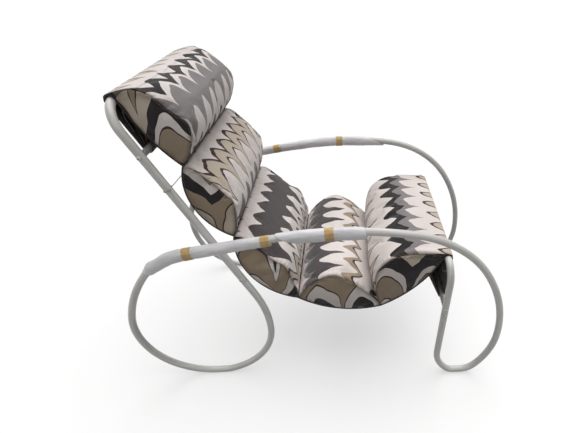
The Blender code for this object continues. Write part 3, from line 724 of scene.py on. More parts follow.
def paint():
    """Pale baked paint on the tubes, with faint lengthwise streaks, dust and rubbed spots."""
    finish = Finish("pale_paint", {"Coat Weight": 0.35, "Coat Roughness": 0.16})
    streak = finish.drawn(finish.cloth(), (150.0, 9.0, 1.0), 3.0, 0.6)
    soft = finish.noise(7.0, 3.0)
    colour = finish.shade(soft, ((0.30, (198, 196, 191)), (0.72, (218, 216, 213))))
    colour = finish.dim(0.8, colour, streak, ((0.35, (222, 222, 220)), (0.62, WHITE)))
    dust = finish.noise(60.0, 5.0, roughness=0.65)
    dusty = finish.ramp(dust, ((0.58, (0, 0, 0, 1)), (0.78, (0.35, 0.35, 0.35, 1))))
    colour = finish.mix(dusty, colour, tint(170, 167, 159))
    normal = finish.bump(streak, 0.0006, 0.35, finish.bump(soft, 0.0015, 0.2))
    normal = finish.bump(finish.noise(520.0, 1.0), 0.0002, 0.25, normal)
    return finish.done(colour, normal, (dust, 0.22, 0.24))


def steel():
    """Bare zinc-grey steel of the rods and screws, drawn lengthwise and dulled."""
    finish = Finish("drawn_steel", {"Metallic": 0.55})
    grain = finish.noise(240.0, 4.0)
    colour = finish.shade(grain, ((0.25, (150, 148, 146)), (0.75, (196, 195, 193))))
    return finish.done(colour, finish.bump(grain, 0.0002, 0.3), (grain, 0.25, 0.34))


def foam():
    """Thin white packing foam under film, soft and faintly see-through at its rims."""
    finish = Finish("packing_foam", {"Subsurface Weight": 0.12, "Sheen Weight": 0.1,
                                     "Subsurface Radius": (0.003, 0.003, 0.003),
                                     "Specular IOR Level": 0.6})
    soft = finish.noise(14.0, 3.0)
    colour = finish.shade(soft, ((0.3, (202, 200, 202)), (0.7, (224, 222, 224))))
    cells = finish.add("ShaderNodeTexVoronoi", {"Scale": 900.0, "Vector": finish.place()}).outputs["Distance"]
    colour = finish.mix(0.18, colour, cells, "OVERLAY")
    creases = finish.noise(45.0, 5.0, roughness=0.6)
    normal = finish.bump(cells, 0.0003, 0.4, finish.bump(creases, 0.0022, 0.5))
    return finish.done(colour, normal, (creases, 0.25, 0.26))


def tape():
    """Crinkled paper tape, tan, with its fine crepe across the band."""
    finish = Finish("paper_tape", {"Specular IOR Level": 0.35})
    ribs = finish.drawn(finish.cloth(), (900.0, 120.0, 1.0), 3.0)
    soft = finish.noise(60.0, 3.0)
    colour = finish.shade(soft, ((0.3, (190, 156, 102)), (0.7, (212, 182, 132))))
    colour = finish.dim(0.35, colour, ribs, ((0.3, (205, 200, 190)), (0.7, WHITE)))
    return finish.done(colour, finish.bump(ribs, 0.0005, 0.6), (ribs, 0.2, 0.5))


def twine():
    """Pale twisted cord and thread."""
    finish = Finish("pale_twine", {"Roughness": 0.8, "Sheen Weight": 0.3})
    ply = finish.wave(finish.maths("ADD", *finish.split(finish.cloth())), TWINE_PITCH)
    share = finish.maths("MULTIPLY_ADD", ply, 0.5, 0.5)
    colour = finish.shade(share, ((0.0, (120, 112, 102)), (1.0, (186, 178, 166))))
    return finish.done(colour, finish.bump(share, 0.0004, 0.7))


def floor_finish():
    """Studio floor: white where it is seen, with a faint shadow, and grey where it throws light back."""
    finish = Finish("pale_floor", {"Roughness": 0.9, "Specular IOR Level": 0.0})
    finish.set("Emission Color", (1, 1, 1, 1))
    shades = [[level * (1 - FLOOR_GLOW_SHARE) for level in colour] + [1] for colour in FLOOR_SEEN]
    seen = finish.ramp(finish.noise(1.2), ((0.3, shades[0]), (0.7, shades[1])))
    path = finish.add("ShaderNodeLightPath").outputs
    direct = finish.maths("MAXIMUM", path["Is Camera Ray"], path["Is Glossy Ray"])
    direct = finish.maths("MAXIMUM", direct, path["Is Transmission Ray"])
    finish.set("Base Color", finish.mix(direct, tint(*FLOOR_BOUNCE_SCREEN), seen))
    finish.set("Emission Strength", finish.maths("MULTIPLY", direct, FLOOR_GLOW_SHARE))
    return finish.material


# Layout of the frame


def side_walks():
    """Centre lines of one side in the side plane, with the place where each piece begins."""
    rise = Walk((REAR_FOOT_RUN / 2, TUBE_RADIUS), 0)
    rise.bends(REAR_RISE, 1)
    bends_end = len(rise.points)
    rise.straight(BACK_JOINT_RISE)

    forward = Walk((-REAR_FOOT_RUN / 2, TUBE_RADIUS), 180)
    forward.bends(LOOP_RETURN, -1)
    arm_start = len(forward.points)
    forward.straight(ARM_RUN - ARM_JOINT_SETBACK)

    nose = Walk((0, 0), -90)
    nose.bends(NOSE_BENDS, -1)
    front = Walk(forward.points[-1], 0)
    front.heading = forward.heading
    front.straight(ARM_JOINT_SETBACK)
    front.bends(ARM_FALL, -1)
    height_left = front.points[-1][1] - TUBE_RADIUS + nose.points[-1][1]
    last_radius = height_left / math.cos(front.heading)
    front.bend(last_radius, -90 - math.degrees(math.remainder(front.heading, 2 * math.pi)))
    front.bends(NOSE_BENDS, -1)
    front.straight(NOSE_RUN)
    front.bends(LEG_BENDS, -1)
    front.straight(LEG_TOP - LEG_JOINT_DROP - front.points[-1][1])

    low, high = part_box("front_hoop")
    shift = np.array([(low.x + high.x) / 2 - front.points[-1][0], 0])
    rear = np.array(rise.points[::-1] + forward.points) + shift
    swing = (len(rise.points) - bends_end, len(rise.points) + arm_start - 1)
    return rear, swing, np.array(front.points) + shift, rise.heading


def crossing_planes(rear, swing):
    """Distance of each rear loop point from the middle: the loop steps out past the back."""
    line = Line(rear)
    start, end = line.marks[list(swing)]
    inner = ARM_PLANE - 2 * TUBE_RADIUS - CROSSING_GAP
    share = np.clip((line.marks - start) / (end - start), 0, 1)
    return inner + (ARM_PLANE - inner) * share * share * (3 - 2 * share)


def hoop_points(joint, heading, run, corner, plane):
    """A hoop from one side joint, up, across and down to the other joint."""
    up = in_space(way(heading), 0)
    across = np.array([0, -math.copysign(1, plane), 0])
    start = in_space(joint, plane)
    straight = [start + up * run * k / HOOP_RUN_STEPS for k in range(HOOP_RUN_STEPS)]
    corner_start = start + up * run
    bend = []
    for k in range(HOOP_BEND_STEPS + 1):
        angle = math.pi / 2 * k / HOOP_BEND_STEPS
        bend.append(corner_start + up * corner * math.sin(angle) + across * corner * (1 - math.cos(angle)))
    half = straight + bend
    other = [point * (1, -1, 1) for point in reversed(half)]
    return np.array(half + other)


def butted_tube(name, points, out, finish, node):
    """A painted tube with a fine groove at both ends, where it butts against another tube."""
    line = Line(points)
    steps = (JOINT_GROOVE_REACH, line.length - JOINT_GROOVE_REACH)
    points = line.at(np.sort([*line.marks, *steps]))
    radii = np.full(len(points), TUBE_RADIUS)
    radii[[0, -1]] -= JOINT_GROOVE
    piece = round_bar(name, points, radii, out, finish)
    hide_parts(node)


def build_tubes(finish):
    """The six painted tubes; returns the places that the other pieces need."""
    rear, swing, front, back_heading = side_walks()
    planes = crossing_planes(rear, swing)
    back_plane = planes[0]
    back_way = way(back_heading)
    back_joint, leg_joint = rear[0], front[-1]
    back_run = BACK_RUN - BACK_JOINT_RISE
    corner_start = back_joint + back_way * back_run
    leg_corner = np.array([leg_joint[0], LEG_TOP])

    hoops = (
        ("back_hoop", back_joint, back_heading, back_run, BACK_CORNER, back_plane),
        ("front_hoop", leg_joint, math.pi / 2, LEG_JOINT_DROP, LEG_CORNER, ARM_PLANE),
    )
    for node, joint, heading, run, corner, plane in hoops:
        points = hoop_points(joint + way(heading) * FIT_GAP, heading, run - FIT_GAP, corner, -plane)
        butted_tube(node + "_tube", points, (0, 1, 0), finish, node)

    arm_lines = {}
    for side, sign in SIDES:
        out = (0, sign, 0)
        rear_points = in_space(rear, planes * sign)
        front_points = in_space(front, ARM_PLANE * sign)
        arm_lines[side] = (Line(np.concatenate([rear_points[:-1], front_points])),
                           Line(rear_points).marks[swing[1]])
        butted_tube("rear_loop_tube_" + side, rear_points, out, finish, "rear_loop_" + side)
        butted_tube("front_loop_tube_" + side, front_points, out, finish, "front_loop_" + side)
    return {
        "arm_lines": arm_lines,
        "top_bar": corner_start + back_way * BACK_CORNER,
        "front_bar": leg_corner + np.array([0, LEG_CORNER]),
        "head_rod": corner_start - back_way * HEAD_ROD_DROP,
        "front_rod": leg_corner - np.array([0, FRONT_ROD_DROP]),
        "back_joint": back_joint,
        "leg_joint": leg_joint,
        "back_way": back_way,
        "back_plane": back_plane,
    }


def build_rods(layout, finish):
    """The two rods in the sling's hems."""
    for name, place, plane in (("head_rod", layout["head_rod"], layout["back_plane"]),
                               ("front_rod", layout["front_rod"], ARM_PLANE)):
        reach = plane - TUBE_RADIUS + FIT_GAP
        points = in_space(place, np.linspace(-reach, reach, ROD_POINTS))
        piece = round_bar(name + "_bar", points, ROD_RADIUS, (0, 0, 1), finish)
        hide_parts(name)


def build_screws(layout, finish):
    """Pan head screws with a six-sided socket, at the joints and rods."""
    joint_place = layout["back_joint"] + layout["back_way"] * JOINT_SCREW_SETBACK
    leg_place = layout["leg_joint"] + np.array([0, JOINT_SCREW_SETBACK])
    places = (
        ("back_joint_screw", joint_place, layout["back_plane"]),
        ("leg_joint_screw", leg_place, ARM_PLANE),
        ("head_rod_screw", layout["head_rod"], layout["back_plane"]),
        ("front_rod_screw", layout["front_rod"], ARM_PLANE),
    )
    angles = circle(SCREW_SIDES)
    turned = np.stack([np.cos(angles), np.sin(angles)], axis=-1) * SCREW_HEAD_RADIUS
    round_share = np.ones(SCREW_SIDES)
    socket_share = SOCKET_SHARE / np.cos((angles + math.pi / 6) % (math.pi / 3) - math.pi / 6)
    outline = [(share * round_share, rise) for share, rise in SCREW_PROFILE]
    outline += [(socket_share, 1.0), (socket_share, SOCKET_FLOOR_SHARE)]
    lengths = np.linspace(0, SCREW_HEAD_RADIUS, len(outline))
    for name, place, plane in places:
        foot = plane + TUBE_RADIUS - JOINT_GROOVE / 2
        for side, sign in SIDES:
            rings = [in_space(place + turned * shares[:, None], (foot + rise * SCREW_HEAD_HEIGHT) * sign)
                     for shares, rise in outline]
            piece = weld_patches(name + "_head_" + side, capped(rings, lengths), [finish])
            piece.data.set_sharp_from_angle(angle=SCREW_CREASE_ANGLE)
            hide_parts(name + "_" + side)


# Layout of the sling


def half_turn(sag, chord):
    """Half the angle that an arc of a given sag turns through."""
    return 2 * math.atan2(2 * sag, chord)


class Arc:
    """The sagging underside of one roll, in the side plane."""

    def __init__(self, start, end, sag):
        chord = end - start
        length = np.linalg.norm(chord)
        self.half = half_turn(sag, length)
        self.radius = length / (2 * math.sin(self.half))
        self.first = heading_of(chord) - self.half
        self.centre = start + left(self.first) * self.radius
        self.length = 2 * self.half * self.radius

    def heading(self, share):
        return self.first + 2 * self.half * share

    def point(self, share):
        return self.centre - left(self.heading(share)) * self.radius


def settle(bar_centre, radius, seam, sag, leaving):
    """Where the cloth leaves or meets a bar, so that the arc beyond it is tangent."""
    heading = heading_of(seam - bar_centre)
    for _ in range(SETTLING_PASSES):
        touch = bar_centre + left(heading) * radius
        chord = (seam - touch) if leaving else (touch - seam)
        turn = half_turn(sag, np.linalg.norm(chord))
        heading = heading_of(chord) + (-turn if leaving else turn)
    return bar_centre + left(heading) * radius, heading


def wrap(centre, radius, start, end):
    """Points that pass clockwise round a bar, from one heading to a lower one."""
    steps = max(2, math.ceil((start - end) / WRAP_STEP))
    return [centre + left(start + (end - start) * k / steps) * radius for k in range(steps + 1)]


def tangent_heading(first, first_radius, second, second_radius):
    """Heading of the cloth between two bars that it passes on its right."""
    step = second - first
    return heading_of(step) - math.asin((first_radius - second_radius) / np.linalg.norm(step))


def half_width(spot):
    """Half the sling's width at a spot, counted in rolls from the top bar down."""
    share = np.interp(spot, range(len(SEAM_WIDTH_SHARES)), SEAM_WIDTH_SHARES)
    return (SLING_TOP_WIDTH + (SLING_SEAT_WIDTH - SLING_TOP_WIDTH) * share) / 2


def seam_distance(spots, arcs):
    """Distance of each spot in the side plane from the nearest end of an arc."""
    ends = [arc.point(share) for arc in arcs for share in (0, 1)]
    return np.min([np.linalg.norm(spots - end, axis=-1) for end in ends], axis=0)


def lay_sling(layout):
    """The sling's middle line with its half width, and the arc under each roll."""
    top, front = layout["top_bar"], layout["front_bar"]
    reach, fall = front[0] - top[0], top[1] - front[1]
    seams = [np.array([top[0] + along * reach, top[1] - down * fall]) for along, down in SEAM_PLACE_SHARES]
    bar_radius = TUBE_RADIUS * TO_CORNER + FIT_GAP + SLING_THICKNESS / 2
    rod_radius = ROD_RADIUS * TO_CORNER + FIT_GAP + SLING_THICKNESS / 2
    sags = [sag for _, sag, _ in ROLLS]
    first, leave = settle(top, bar_radius, seams[0], sags[0], True)
    last, arrive = settle(front, bar_radius, seams[-1], sags[-1], False)
    places = [first, *seams, last]
    arcs = [Arc(a, b, sag) for a, b, sag in zip(places, places[1:], sags)]

    under = SLING_THICKNESS + FIT_GAP
    head_landing = arcs[0].point(HEAD_LANDING_SHARE) - left(arcs[0].heading(HEAD_LANDING_SHARE)) * under
    knee_landing = arcs[-1].point(KNEE_LANDING_SHARE) - left(arcs[-1].heading(KNEE_LANDING_SHARE)) * under
    head_rod, front_rod = layout["head_rod"], layout["front_rod"]
    full = 2 * math.pi
    climb = tangent_heading(head_rod, rod_radius, top, bar_radius)
    to_rod = tangent_heading(head_landing, 0, head_rod, rod_radius) % full
    drop = tangent_heading(front, bar_radius, front_rod, rod_radius)
    back_up = tangent_heading(front_rod, rod_radius, knee_landing, 0) - full

    head_hem = [head_landing, *wrap(head_rod, rod_radius, to_rod, climb)]
    head_hem += wrap(top, bar_radius, climb, leave)
    knee_hem = wrap(front, bar_radius, arrive, drop)[1:]
    knee_hem += [*wrap(front_rod, rod_radius, drop, back_up), knee_landing]
    path = [(point, half_width(0)) for point in head_hem]
    for i, arc in enumerate(arcs):
        for k in range(1, SLING_STEPS + 1):
            share = k / SLING_STEPS
            path.append((arc.point(share), half_width(i + share)))
    path += [(point, half_width(len(arcs))) for point in knee_hem]
    return path, arcs


def build_sling(path, arcs, finishes):
    """The strip of cloth under the rolls, hemmed round both rods, with its edges in a band of binding."""
    points = np.array([point for point, _ in path])
    halves = np.array([half for _, half in path])
    line = Line(points)
    marks = np.unique(np.concatenate([line.marks, np.arange(0, line.length, SLING_CELL)]))
    keep = np.concatenate([[True], np.diff(marks) > SLING_SMALLEST_CELL])
    marks = marks[keep]
    spine = line.at(marks)
    halves = np.interp(marks, line.marks, halves)
    along = unit(np.gradient(spine, marks, axis=0))
    lift = np.stack([-along[:, 1], along[:, 0]], axis=-1) * SLING_THICKNESS / 2
    shares = np.sin(np.linspace(-math.pi / 2, math.pi / 2, SLING_COLUMNS))
    across = halves[:, None] * shares[None]
    rings = []
    for sense in (1, -1):
        rings.append(in_space((spine + lift * sense)[:, None], across)[:, ::sense])
    rings = np.concatenate(rings, axis=1)
    closed = np.concatenate([rings, rings[:, :1]], axis=1)
    cloth = np.stack([closed[..., 1], np.repeat(marks[:, None], closed.shape[1], 1)], axis=-1)
    hem = SLING_HEM_COLUMNS
    body = SLING_COLUMNS - hem - 1
    stops = (0, hem, body, SLING_COLUMNS + hem, SLING_COLUMNS + body, 2 * SLING_COLUMNS)
    patches = [(closed[:, a:b + 1], cloth[:, a:b + 1], number)
               for a, b, number in zip(stops, stops[1:], (1, 0, 1, 0, 1))]
    for end in (0, -1):
        upper, lower = rings[end, :SLING_COLUMNS], rings[end, SLING_COLUMNS:][::-1]
        edge = np.stack([upper, lower])
        patches.append((edge, edge[..., [1, 0]], 1))
    piece = weld_patches("sling_cloth", patches, finishes)
    spots = mesh_points(piece.data)
    store(piece.data, "seam", seam_distance(spots[:, [0, 2]], arcs))
    store(piece.data, "rim", np.full(len(spots), FAR_FROM_SEAM))
    piece.data.set_sharp_from_angle(angle=CLOTH_CREASE_ANGLE)
    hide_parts("sling")


# Rolls


def crown_height(share, crown, shape):
    """Height of a roll's crown above its underside, at a share of its length."""
    peak, full_start, full_end, swell, place = shape
    off = 1 - share / peak if share < peak else 1 - (1 - share) / (1 - peak)
    full = full_start if share < peak else full_end
    rise = (1 - off ** CROWN_FLATNESS) ** (1 / full)
    crown += swell * math.exp(-((share - place) / CROWN_SWELL_REACH) ** 2)
    return ROLL_SEAM_HEIGHT + (crown - ROLL_SEAM_HEIGHT) * rise


def roll_outline(arc, crown, shape, give_start, give_end):
    """Outline of a roll in the side plane: underside, wall, crown and wall, with its shares."""
    lift = SLING_THICKNESS / 2 + FIT_GAP
    inset = ROLL_SEAM_GAP / 2 / arc.length

    def lifted(share, height):
        lean = give_end * max(0, 1 - (1 - share) / NORMAL_BLEND_SHARE)
        lean -= give_start * max(0, 1 - share / NORMAL_BLEND_SHARE)
        inner = inset + share * (1 - 2 * inset)
        return arc.point(inner) + left(arc.heading(inner) + lean) * height

    spots = [(k / PANEL_CELLS, 0.0) for k in range(PANEL_CELLS + 1)]
    spots += [(1.0, ROLL_SEAM_HEIGHT * k / WALL_CELLS) for k in range(1, WALL_CELLS + 1)]
    crown_cells = 3 * PANEL_CELLS - 2 * WALL_CELLS
    for k in range(1, crown_cells + 1):
        share = (1 + math.cos(math.pi * k / crown_cells)) / 2
        spots.append((share, crown_height(share, crown, shape)))
    spots += [(0.0, ROLL_SEAM_HEIGHT * (1 - k / WALL_CELLS)) for k in range(1, WALL_CELLS)]
    points = np.array([lifted(share, lift + height) for share, height in spots])
    return points, np.array([share for share, _ in spots])


def panel_grid(ring, bulge, sign):
    """A patch of even cells that fills an end ring of four equal sides, domed outwards."""
    n = PANEL_CELLS
    loop = np.concatenate([ring, ring[:1]])
    low, right = loop[:n + 1], loop[n:2 * n + 1]
    high, far = loop[2 * n:3 * n + 1][::-1], loop[3 * n:4 * n + 1][::-1]
    u = np.linspace(0, 1, n + 1)[None, :, None]
    v = np.linspace(0, 1, n + 1)[:, None, None]
    grid = (1 - v) * low[None] + v * high[None] + (1 - u) * far[:, None] + u * right[:, None]
    grid -= (1 - u) * (1 - v) * low[0] + u * (1 - v) * low[-1] + (1 - u) * v * high[0] + u * v * high[-1]
    dome = np.clip(16 * u * (1 - u) * v * (1 - v), 0, 1) ** PANEL_DOME_POWER
    grid += dome * np.array([0, sign * bulge, 0])
    return grid


def roll_patches(order, arc, crown, gives, cloth_start):
    """The wrap and the two end panels of one roll, and the wrap's length round it."""
    shape = CROWN_SHAPES[order]
    middle, _ = roll_outline(arc, crown, shape, *gives)
    around = Line(np.concatenate([middle, middle[:1]])).marks
    turns = np.linspace(-1, 1, WIDTH_CELLS + 1) * math.pi / 2 * WIDTH_CROWDING_SHARE
    stations = np.sin(turns) / math.sin(turns[-1])
    rows, cloth = [], []
    for station in stations:
        draw = ROLL_DRAW_IN * abs(station) ** ROLL_DRAW_POWER
        outline, shares = roll_outline(arc, crown - draw, shape, *gives)
        halves = half_width(order + shares) - ROLL_EDGE_INSET
        ring = in_space(outline, station * halves)
        rows.append(np.concatenate([ring, ring[:1]]))
        cloth.append(np.stack([np.append(ring[:, 1], ring[0, 1]), cloth_start + around], axis=-1))
    rows, cloth = np.array(rows), np.array(cloth)
    patches = [(rows, cloth, 0)]
    for end, sign in ((0, -1), (-1, 1)):
        grid = panel_grid(rows[end, :-1], ROLL_END_BULGE, sign)
        flat = np.stack([grid[..., 0] * sign, grid[..., 2]], axis=-1) + cloth_start
        patches.append((grid, flat, 1))
    return patches, around[-1]


def seam_planes(arcs, order):
    """Planes that a roll keeps behind where it meets its neighbours: (point, normal) in the side plane."""
    planes = []
    for seam, sign in ((order, -1), (order + 1, 1)):
        if 0 < seam < len(arcs):
            heading = (arcs[seam - 1].heading(1) + arcs[seam].heading(0)) / 2
            planes.append((arcs[order].point(seam - order), sign * way(heading)))
    return planes


def held_back(points, planes):
    """Points moved back behind the contact planes."""
    for place, normal in planes:
        past = (points[:, [0, 2]] - place) @ normal + CONTACT_GAP
        past = np.maximum(past, 0)
        points[:, 0] -= past * normal[0]
        points[:, 2] -= past * normal[1]
    return points


def seam_rim(mesh):
    """Vertices where the wrap meets an end panel."""
    seen = {}
    for face in mesh.polygons:
        for vertex in face.vertices:
            seen.setdefault(vertex, set()).add(face.material_index)
    return [vertex for vertex, numbers in seen.items() if len(numbers) > 1]


def sewn_down(piece, arc):
    """Vertices on the underside of a roll, which is sewn to the sling."""
    points = mesh_points(piece.data)[:, [0, 2]]
    height = arc.radius - np.linalg.norm(points - arc.centre, axis=1)
    return np.nonzero(height < SLING_THICKNESS / 2 + FIT_GAP + SEWN_REACH)[0]


def prepare_puff(piece, arc):
    """Cloth that the cushion's stuffing presses out, held at its seams."""
    group = piece.vertex_groups.new(name="sewn")
    for held in (seam_rim(piece.data), sewn_down(piece, arc)):
        group.add([int(index) for index in held], 1.0, "REPLACE")
    cloth = piece.modifiers.new("puff", "CLOTH")
    settings = cloth.settings
    for key, value in PUFF_SETTINGS.items():
        setattr(settings, key, value)
    settings.vertex_group_mass = group.name
    settings.effector_weights.gravity = 0
    cloth.collision_settings.use_collision = False
    cloth.collision_settings.use_self_collision = False
    cloth.point_cache.frame_start = 1
    cloth.point_cache.frame_end = PUFF_FRAMES


def puff(pieces, starts, planes):
    """Run the cloth of every roll together and keep the result in each mesh."""
    scene = bpy.context.scene
    for number in range(1, PUFF_FRAMES + 1):
        scene.frame_set(number)
    graph = bpy.context.evaluated_depsgraph_get()
    for piece, start, limits in zip(pieces, starts, planes):
        shape = piece.evaluated_get(graph).to_mesh()
        moved = mesh_points(shape) - start
        far = np.linalg.norm(moved, axis=1, keepdims=True)
        moved *= np.minimum(1, PUFF_CAP / np.maximum(far, PUFF_CAP))
        piece.evaluated_get(graph).to_mesh_clear()
        piece.modifiers.clear()
        move_points(piece.data, held_back(start + moved, limits))
    scene.frame_set(1)


def pucker(mesh, arc, count, seed):
    """Gathers pressed into the wrap, beside its seams across the sling and along its end seams."""
    points = mesh_points(mesh)
    normals = np.empty(points.size)
    mesh.vertices.foreach_get("normal", normals)
    normals = normals.reshape(-1, 3)
    last = count * (WIDTH_CELLS + 1)
    rows = points[:last].reshape(WIDTH_CELLS + 1, count, 3)
    spots, across = rows[..., [0, 2]], rows[..., 1]
    seam = seam_distance(spots, [arc])
    height = arc.radius - np.linalg.norm(spots - arc.centre, axis=-1)
    free = np.clip((height - PUCKER_BASE) / (2 * PUCKER_BASE), 0, 1)
    from_end = np.maximum(0, np.abs(rows[-1:, :, 1]) - np.abs(across))
    widths = rows[:, 0, 1]
    wander = np.array([noise.noise(Vector((width * PUCKER_WANDER_RUN, seed, 0.5))) for width in widths])
    folds = 0.5 + 0.5 * np.sin(2 * math.pi * across / PUCKER_SPACING + PUCKER_WANDER * wander[:, None])
    depth = SEAM_PUCKER * folds * np.clip(1 - seam / PUCKER_REACH, 0, 1)
    depth *= np.clip(from_end / PUCKER_END, 0, 1)
    wander = np.array([noise.noise(Vector((seed, k * RIM_WANDER_RUN, 4.5))) for k in range(count)])
    folds = 0.5 + 0.5 * np.sin(2 * math.pi * np.arange(count) / RIM_PUCKER_CELLS + PUCKER_WANDER * wander)
    share = from_end / RIM_PUCKER_REACH
    depth += RIM_PUCKER * folds[None] * share * np.exp(1 - share)
    points[:last] -= normals[:last] * (depth * free).reshape(-1, 1)
    move_points(mesh, points)


def crease_rim(mesh):
    """Hold the end seams a little under subdivision."""
    rim = set(seam_rim(mesh))
    crease = mesh.attributes.new("crease_edge", "FLOAT", "EDGE")
    values = [RIM_CREASE if a in rim and b in rim else 0.0 for a, b in (edge.vertices for edge in mesh.edges)]
    crease.data.foreach_set("value", values)


def mark_seams(piece, arc):
    """Distance of each vertex from the end seams and from the two seams across the sling."""
    mesh = piece.data
    rim = set(seam_rim(mesh))
    points = mesh_points(mesh)
    along_rim = []
    for edge in mesh.edges:
        first, second = edge.vertices
        if first in rim and second in rim:
            step = (points[second] - points[first]) / RIM_MARKS
            along_rim += [points[first] + step * k for k in range(RIM_MARKS)]
    tree = KDTree(len(along_rim))
    for number, point in enumerate(along_rim):
        tree.insert(point, number)
    tree.balance()
    store(mesh, "rim", [tree.find(point)[2] for point in points])
    store(mesh, "seam", seam_distance(points[:, [0, 2]], [arc]))


def build_rolls(arcs, wrap_finish, panel_finish):
    """The five rolls from the head down; where two crowns meet, each gives way by half."""
    gives = [-HEAD_OVERHANG]
    for first, second in zip(arcs, arcs[1:]):
        gives.append(max(0, second.heading(0) - first.heading(1)) / 2)
    gives.append(0)
    pieces, starts, planes, marks = [], [], [], []
    cloth_start = 0.0
    inset = PUFF_START_INSET
    for order, (name, _, crown) in enumerate(ROLLS):
        arc = arcs[order]
        patches, around = roll_patches(order, arc, crown - inset, gives[order:order + 2], cloth_start)
        marks.append(patches[0][1][0, :-1, 1])
        cloth_start += around * CLOTH_STEP_SHARE
        piece = weld_patches(name + "_cushion", patches, [wrap_finish, panel_finish])
        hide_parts(name)
        pieces.append(piece)
        starts.append(mesh_points(piece.data))
        planes.append(seam_planes(arcs, order))
        prepare_puff(piece, arc)
    puff(pieces, starts, planes)
    for order, (piece, arc) in enumerate(zip(pieces, arcs)):
        pucker(piece.data, arc, len(marks[order]), PUCKER_SEED + order)
        crease_rim(piece.data)
        mark_seams(piece, arc)
        smooth = piece.modifiers.new("smooth", "SUBSURF")
        smooth.levels = 1
        smooth.render_levels = 1
    return pieces, marks


def along_path(corners, count):
    """Evenly spaced points along a polyline."""
    line = Line(corners)
    return line.at(np.linspace(0, line.length, count))


def lead_headings(spots, centre, radius, ahead):
    """Headings of straight cloths from the bar to each point of a crown."""
    steps = (spots - centre) * ahead
    reach = np.linalg.norm(steps, axis=1)
    return np.unwrap(np.arctan2(steps[:, 1], steps[:, 0])) - ahead * np.arcsin(radius / reach)


def lead_touch(ring, centre, radius, ahead):
    """Number of the crown point that a straight cloth from the bar touches first."""
    crown = np.arange(PANEL_CELLS + WALL_CELLS, len(ring))
    return crown[np.argmax(lead_headings(ring[crown][:, [0, 2]], centre, radius, ahead) * ahead)]


def lead_row(ring, top, mark, centre, radius, ahead):
    """One row of a lead cloth from the bar to the crown: upper and lower side, width and marks."""
    spots = ring[:, [0, 2]]
    heading = lead_headings(spots[top:top + 1], centre, radius, ahead)[0]
    steps = unit(np.roll(spots, -1, axis=0) - np.roll(spots, 1, axis=0))
    outward = np.stack([steps[:, 1], -steps[:, 0]], axis=-1)
    order = np.arange(len(spots))
    near = order[top:] if ahead > 0 else order[PANEL_CELLS + 1:top + 1][::-1]
    near = near[np.linalg.norm(spots[near] - centre, axis=1) > radius + LEAD_GAP]
    tuck = top + np.arange(0, LEAD_TUCK + 1) * -ahead
    back = heading + ahead * LEAD_WRAP

    thin = np.linspace(1, LEAD_EDGE_SHARE, LEAD_TUCK + 1)[:, None]
    upper_tuck = spots[tuck] + outward[tuck] * (LEAD_GAP + LEAD_THICKNESS * thin)
    turns = np.linspace(back, heading, LEAD_BAR_POINTS)
    bar = np.array([centre + left(turn) * (radius + LEAD_THICKNESS) for turn in turns])
    span = upper_tuck[0] - bar[-1]
    share = np.linspace(0, 1, LEAD_BRIDGE_POINTS)[1:-1, None]
    rise = np.array([-span[1], span[0]]) * ahead / np.linalg.norm(span) * LEAD_BULGE
    bridge = bar[-1] + span * share + rise * np.sin(math.pi * share)
    upper = along_path(np.concatenate([bar, bridge, upper_tuck]), LEAD_CELLS)

    foot = spots[near[-1]] - centre
    foot_heading = heading_of(foot) - math.pi / 2
    turns = np.linspace(back, foot_heading, LEAD_BAR_POINTS)
    low_bar = np.array([centre + left(turn) * radius for turn in turns])
    inner = np.concatenate([near[::-1], tuck[1:]])
    lower = along_path(np.concatenate([low_bar, spots[inner] + outward[inner] * LEAD_GAP]), LEAD_CELLS)

    lengths = Line(upper).marks
    at_top = Line(np.concatenate([bar, bridge, upper_tuck[:1]])).length
    marks = mark[top] + ahead * (at_top - lengths)
    across = np.interp(lengths, (0, at_top), (ring[near[-1], 1], ring[top, 1]))
    return upper, lower, across, marks


def build_leads(layout, rolls, marks, finishes):
    """The wrap cloth drawn from the first and last crowns over the two bars, with its wadding."""
    radius = TUBE_RADIUS * TO_CORNER + FIT_GAP + SLING_THICKNESS + LEAD_GAP
    for name, roll, mark, bar, ahead in (("head_lead_cloth", rolls[0], marks[0], layout["top_bar"], 1),
                                         ("knee_lead_cloth", rolls[-1], marks[-1], layout["front_bar"], -1)):
        count = len(mark)
        rows = mesh_points(roll.data)[:count * (WIDTH_CELLS + 1)].reshape(WIDTH_CELLS + 1, count, 3)
        top = lead_touch(rows[WIDTH_CELLS // 2], bar, radius, ahead)
        uppers, lowers, cloths = [], [], []
        for ring in rows:
            upper, lower, across, places = lead_row(ring, top, mark, bar, radius, ahead)
            uppers.append(in_space(upper, across))
            lowers.append(in_space(lower, across))
            cloths.append(np.stack([across, places], axis=-1))
        uppers, lowers, cloths = np.array(uppers), np.array(lowers), np.array(cloths)
        patches = [(uppers, cloths, 0), (lowers, cloths, 0)]
        for end in (0, -1):
            patches.append((np.stack([uppers[:, end], lowers[:, end]]), np.stack([cloths[:, end]] * 2), 0))
            cap = np.stack([uppers[end], lowers[end]])
            patches.append((cap, cap[..., [0, 2]], 1))
        piece = weld_patches(name, patches, finishes)
        piece.data.set_sharp_from_angle(angle=CLOTH_CREASE_ANGLE)
        points = mesh_points(piece.data)
        store(piece.data, "rim", np.abs(rows[-1, :, 1]).max() - np.abs(points[:, 1]))
        store(piece.data, "seam", np.full(len(points), FAR_FROM_SEAM))


# Sleeves and tape


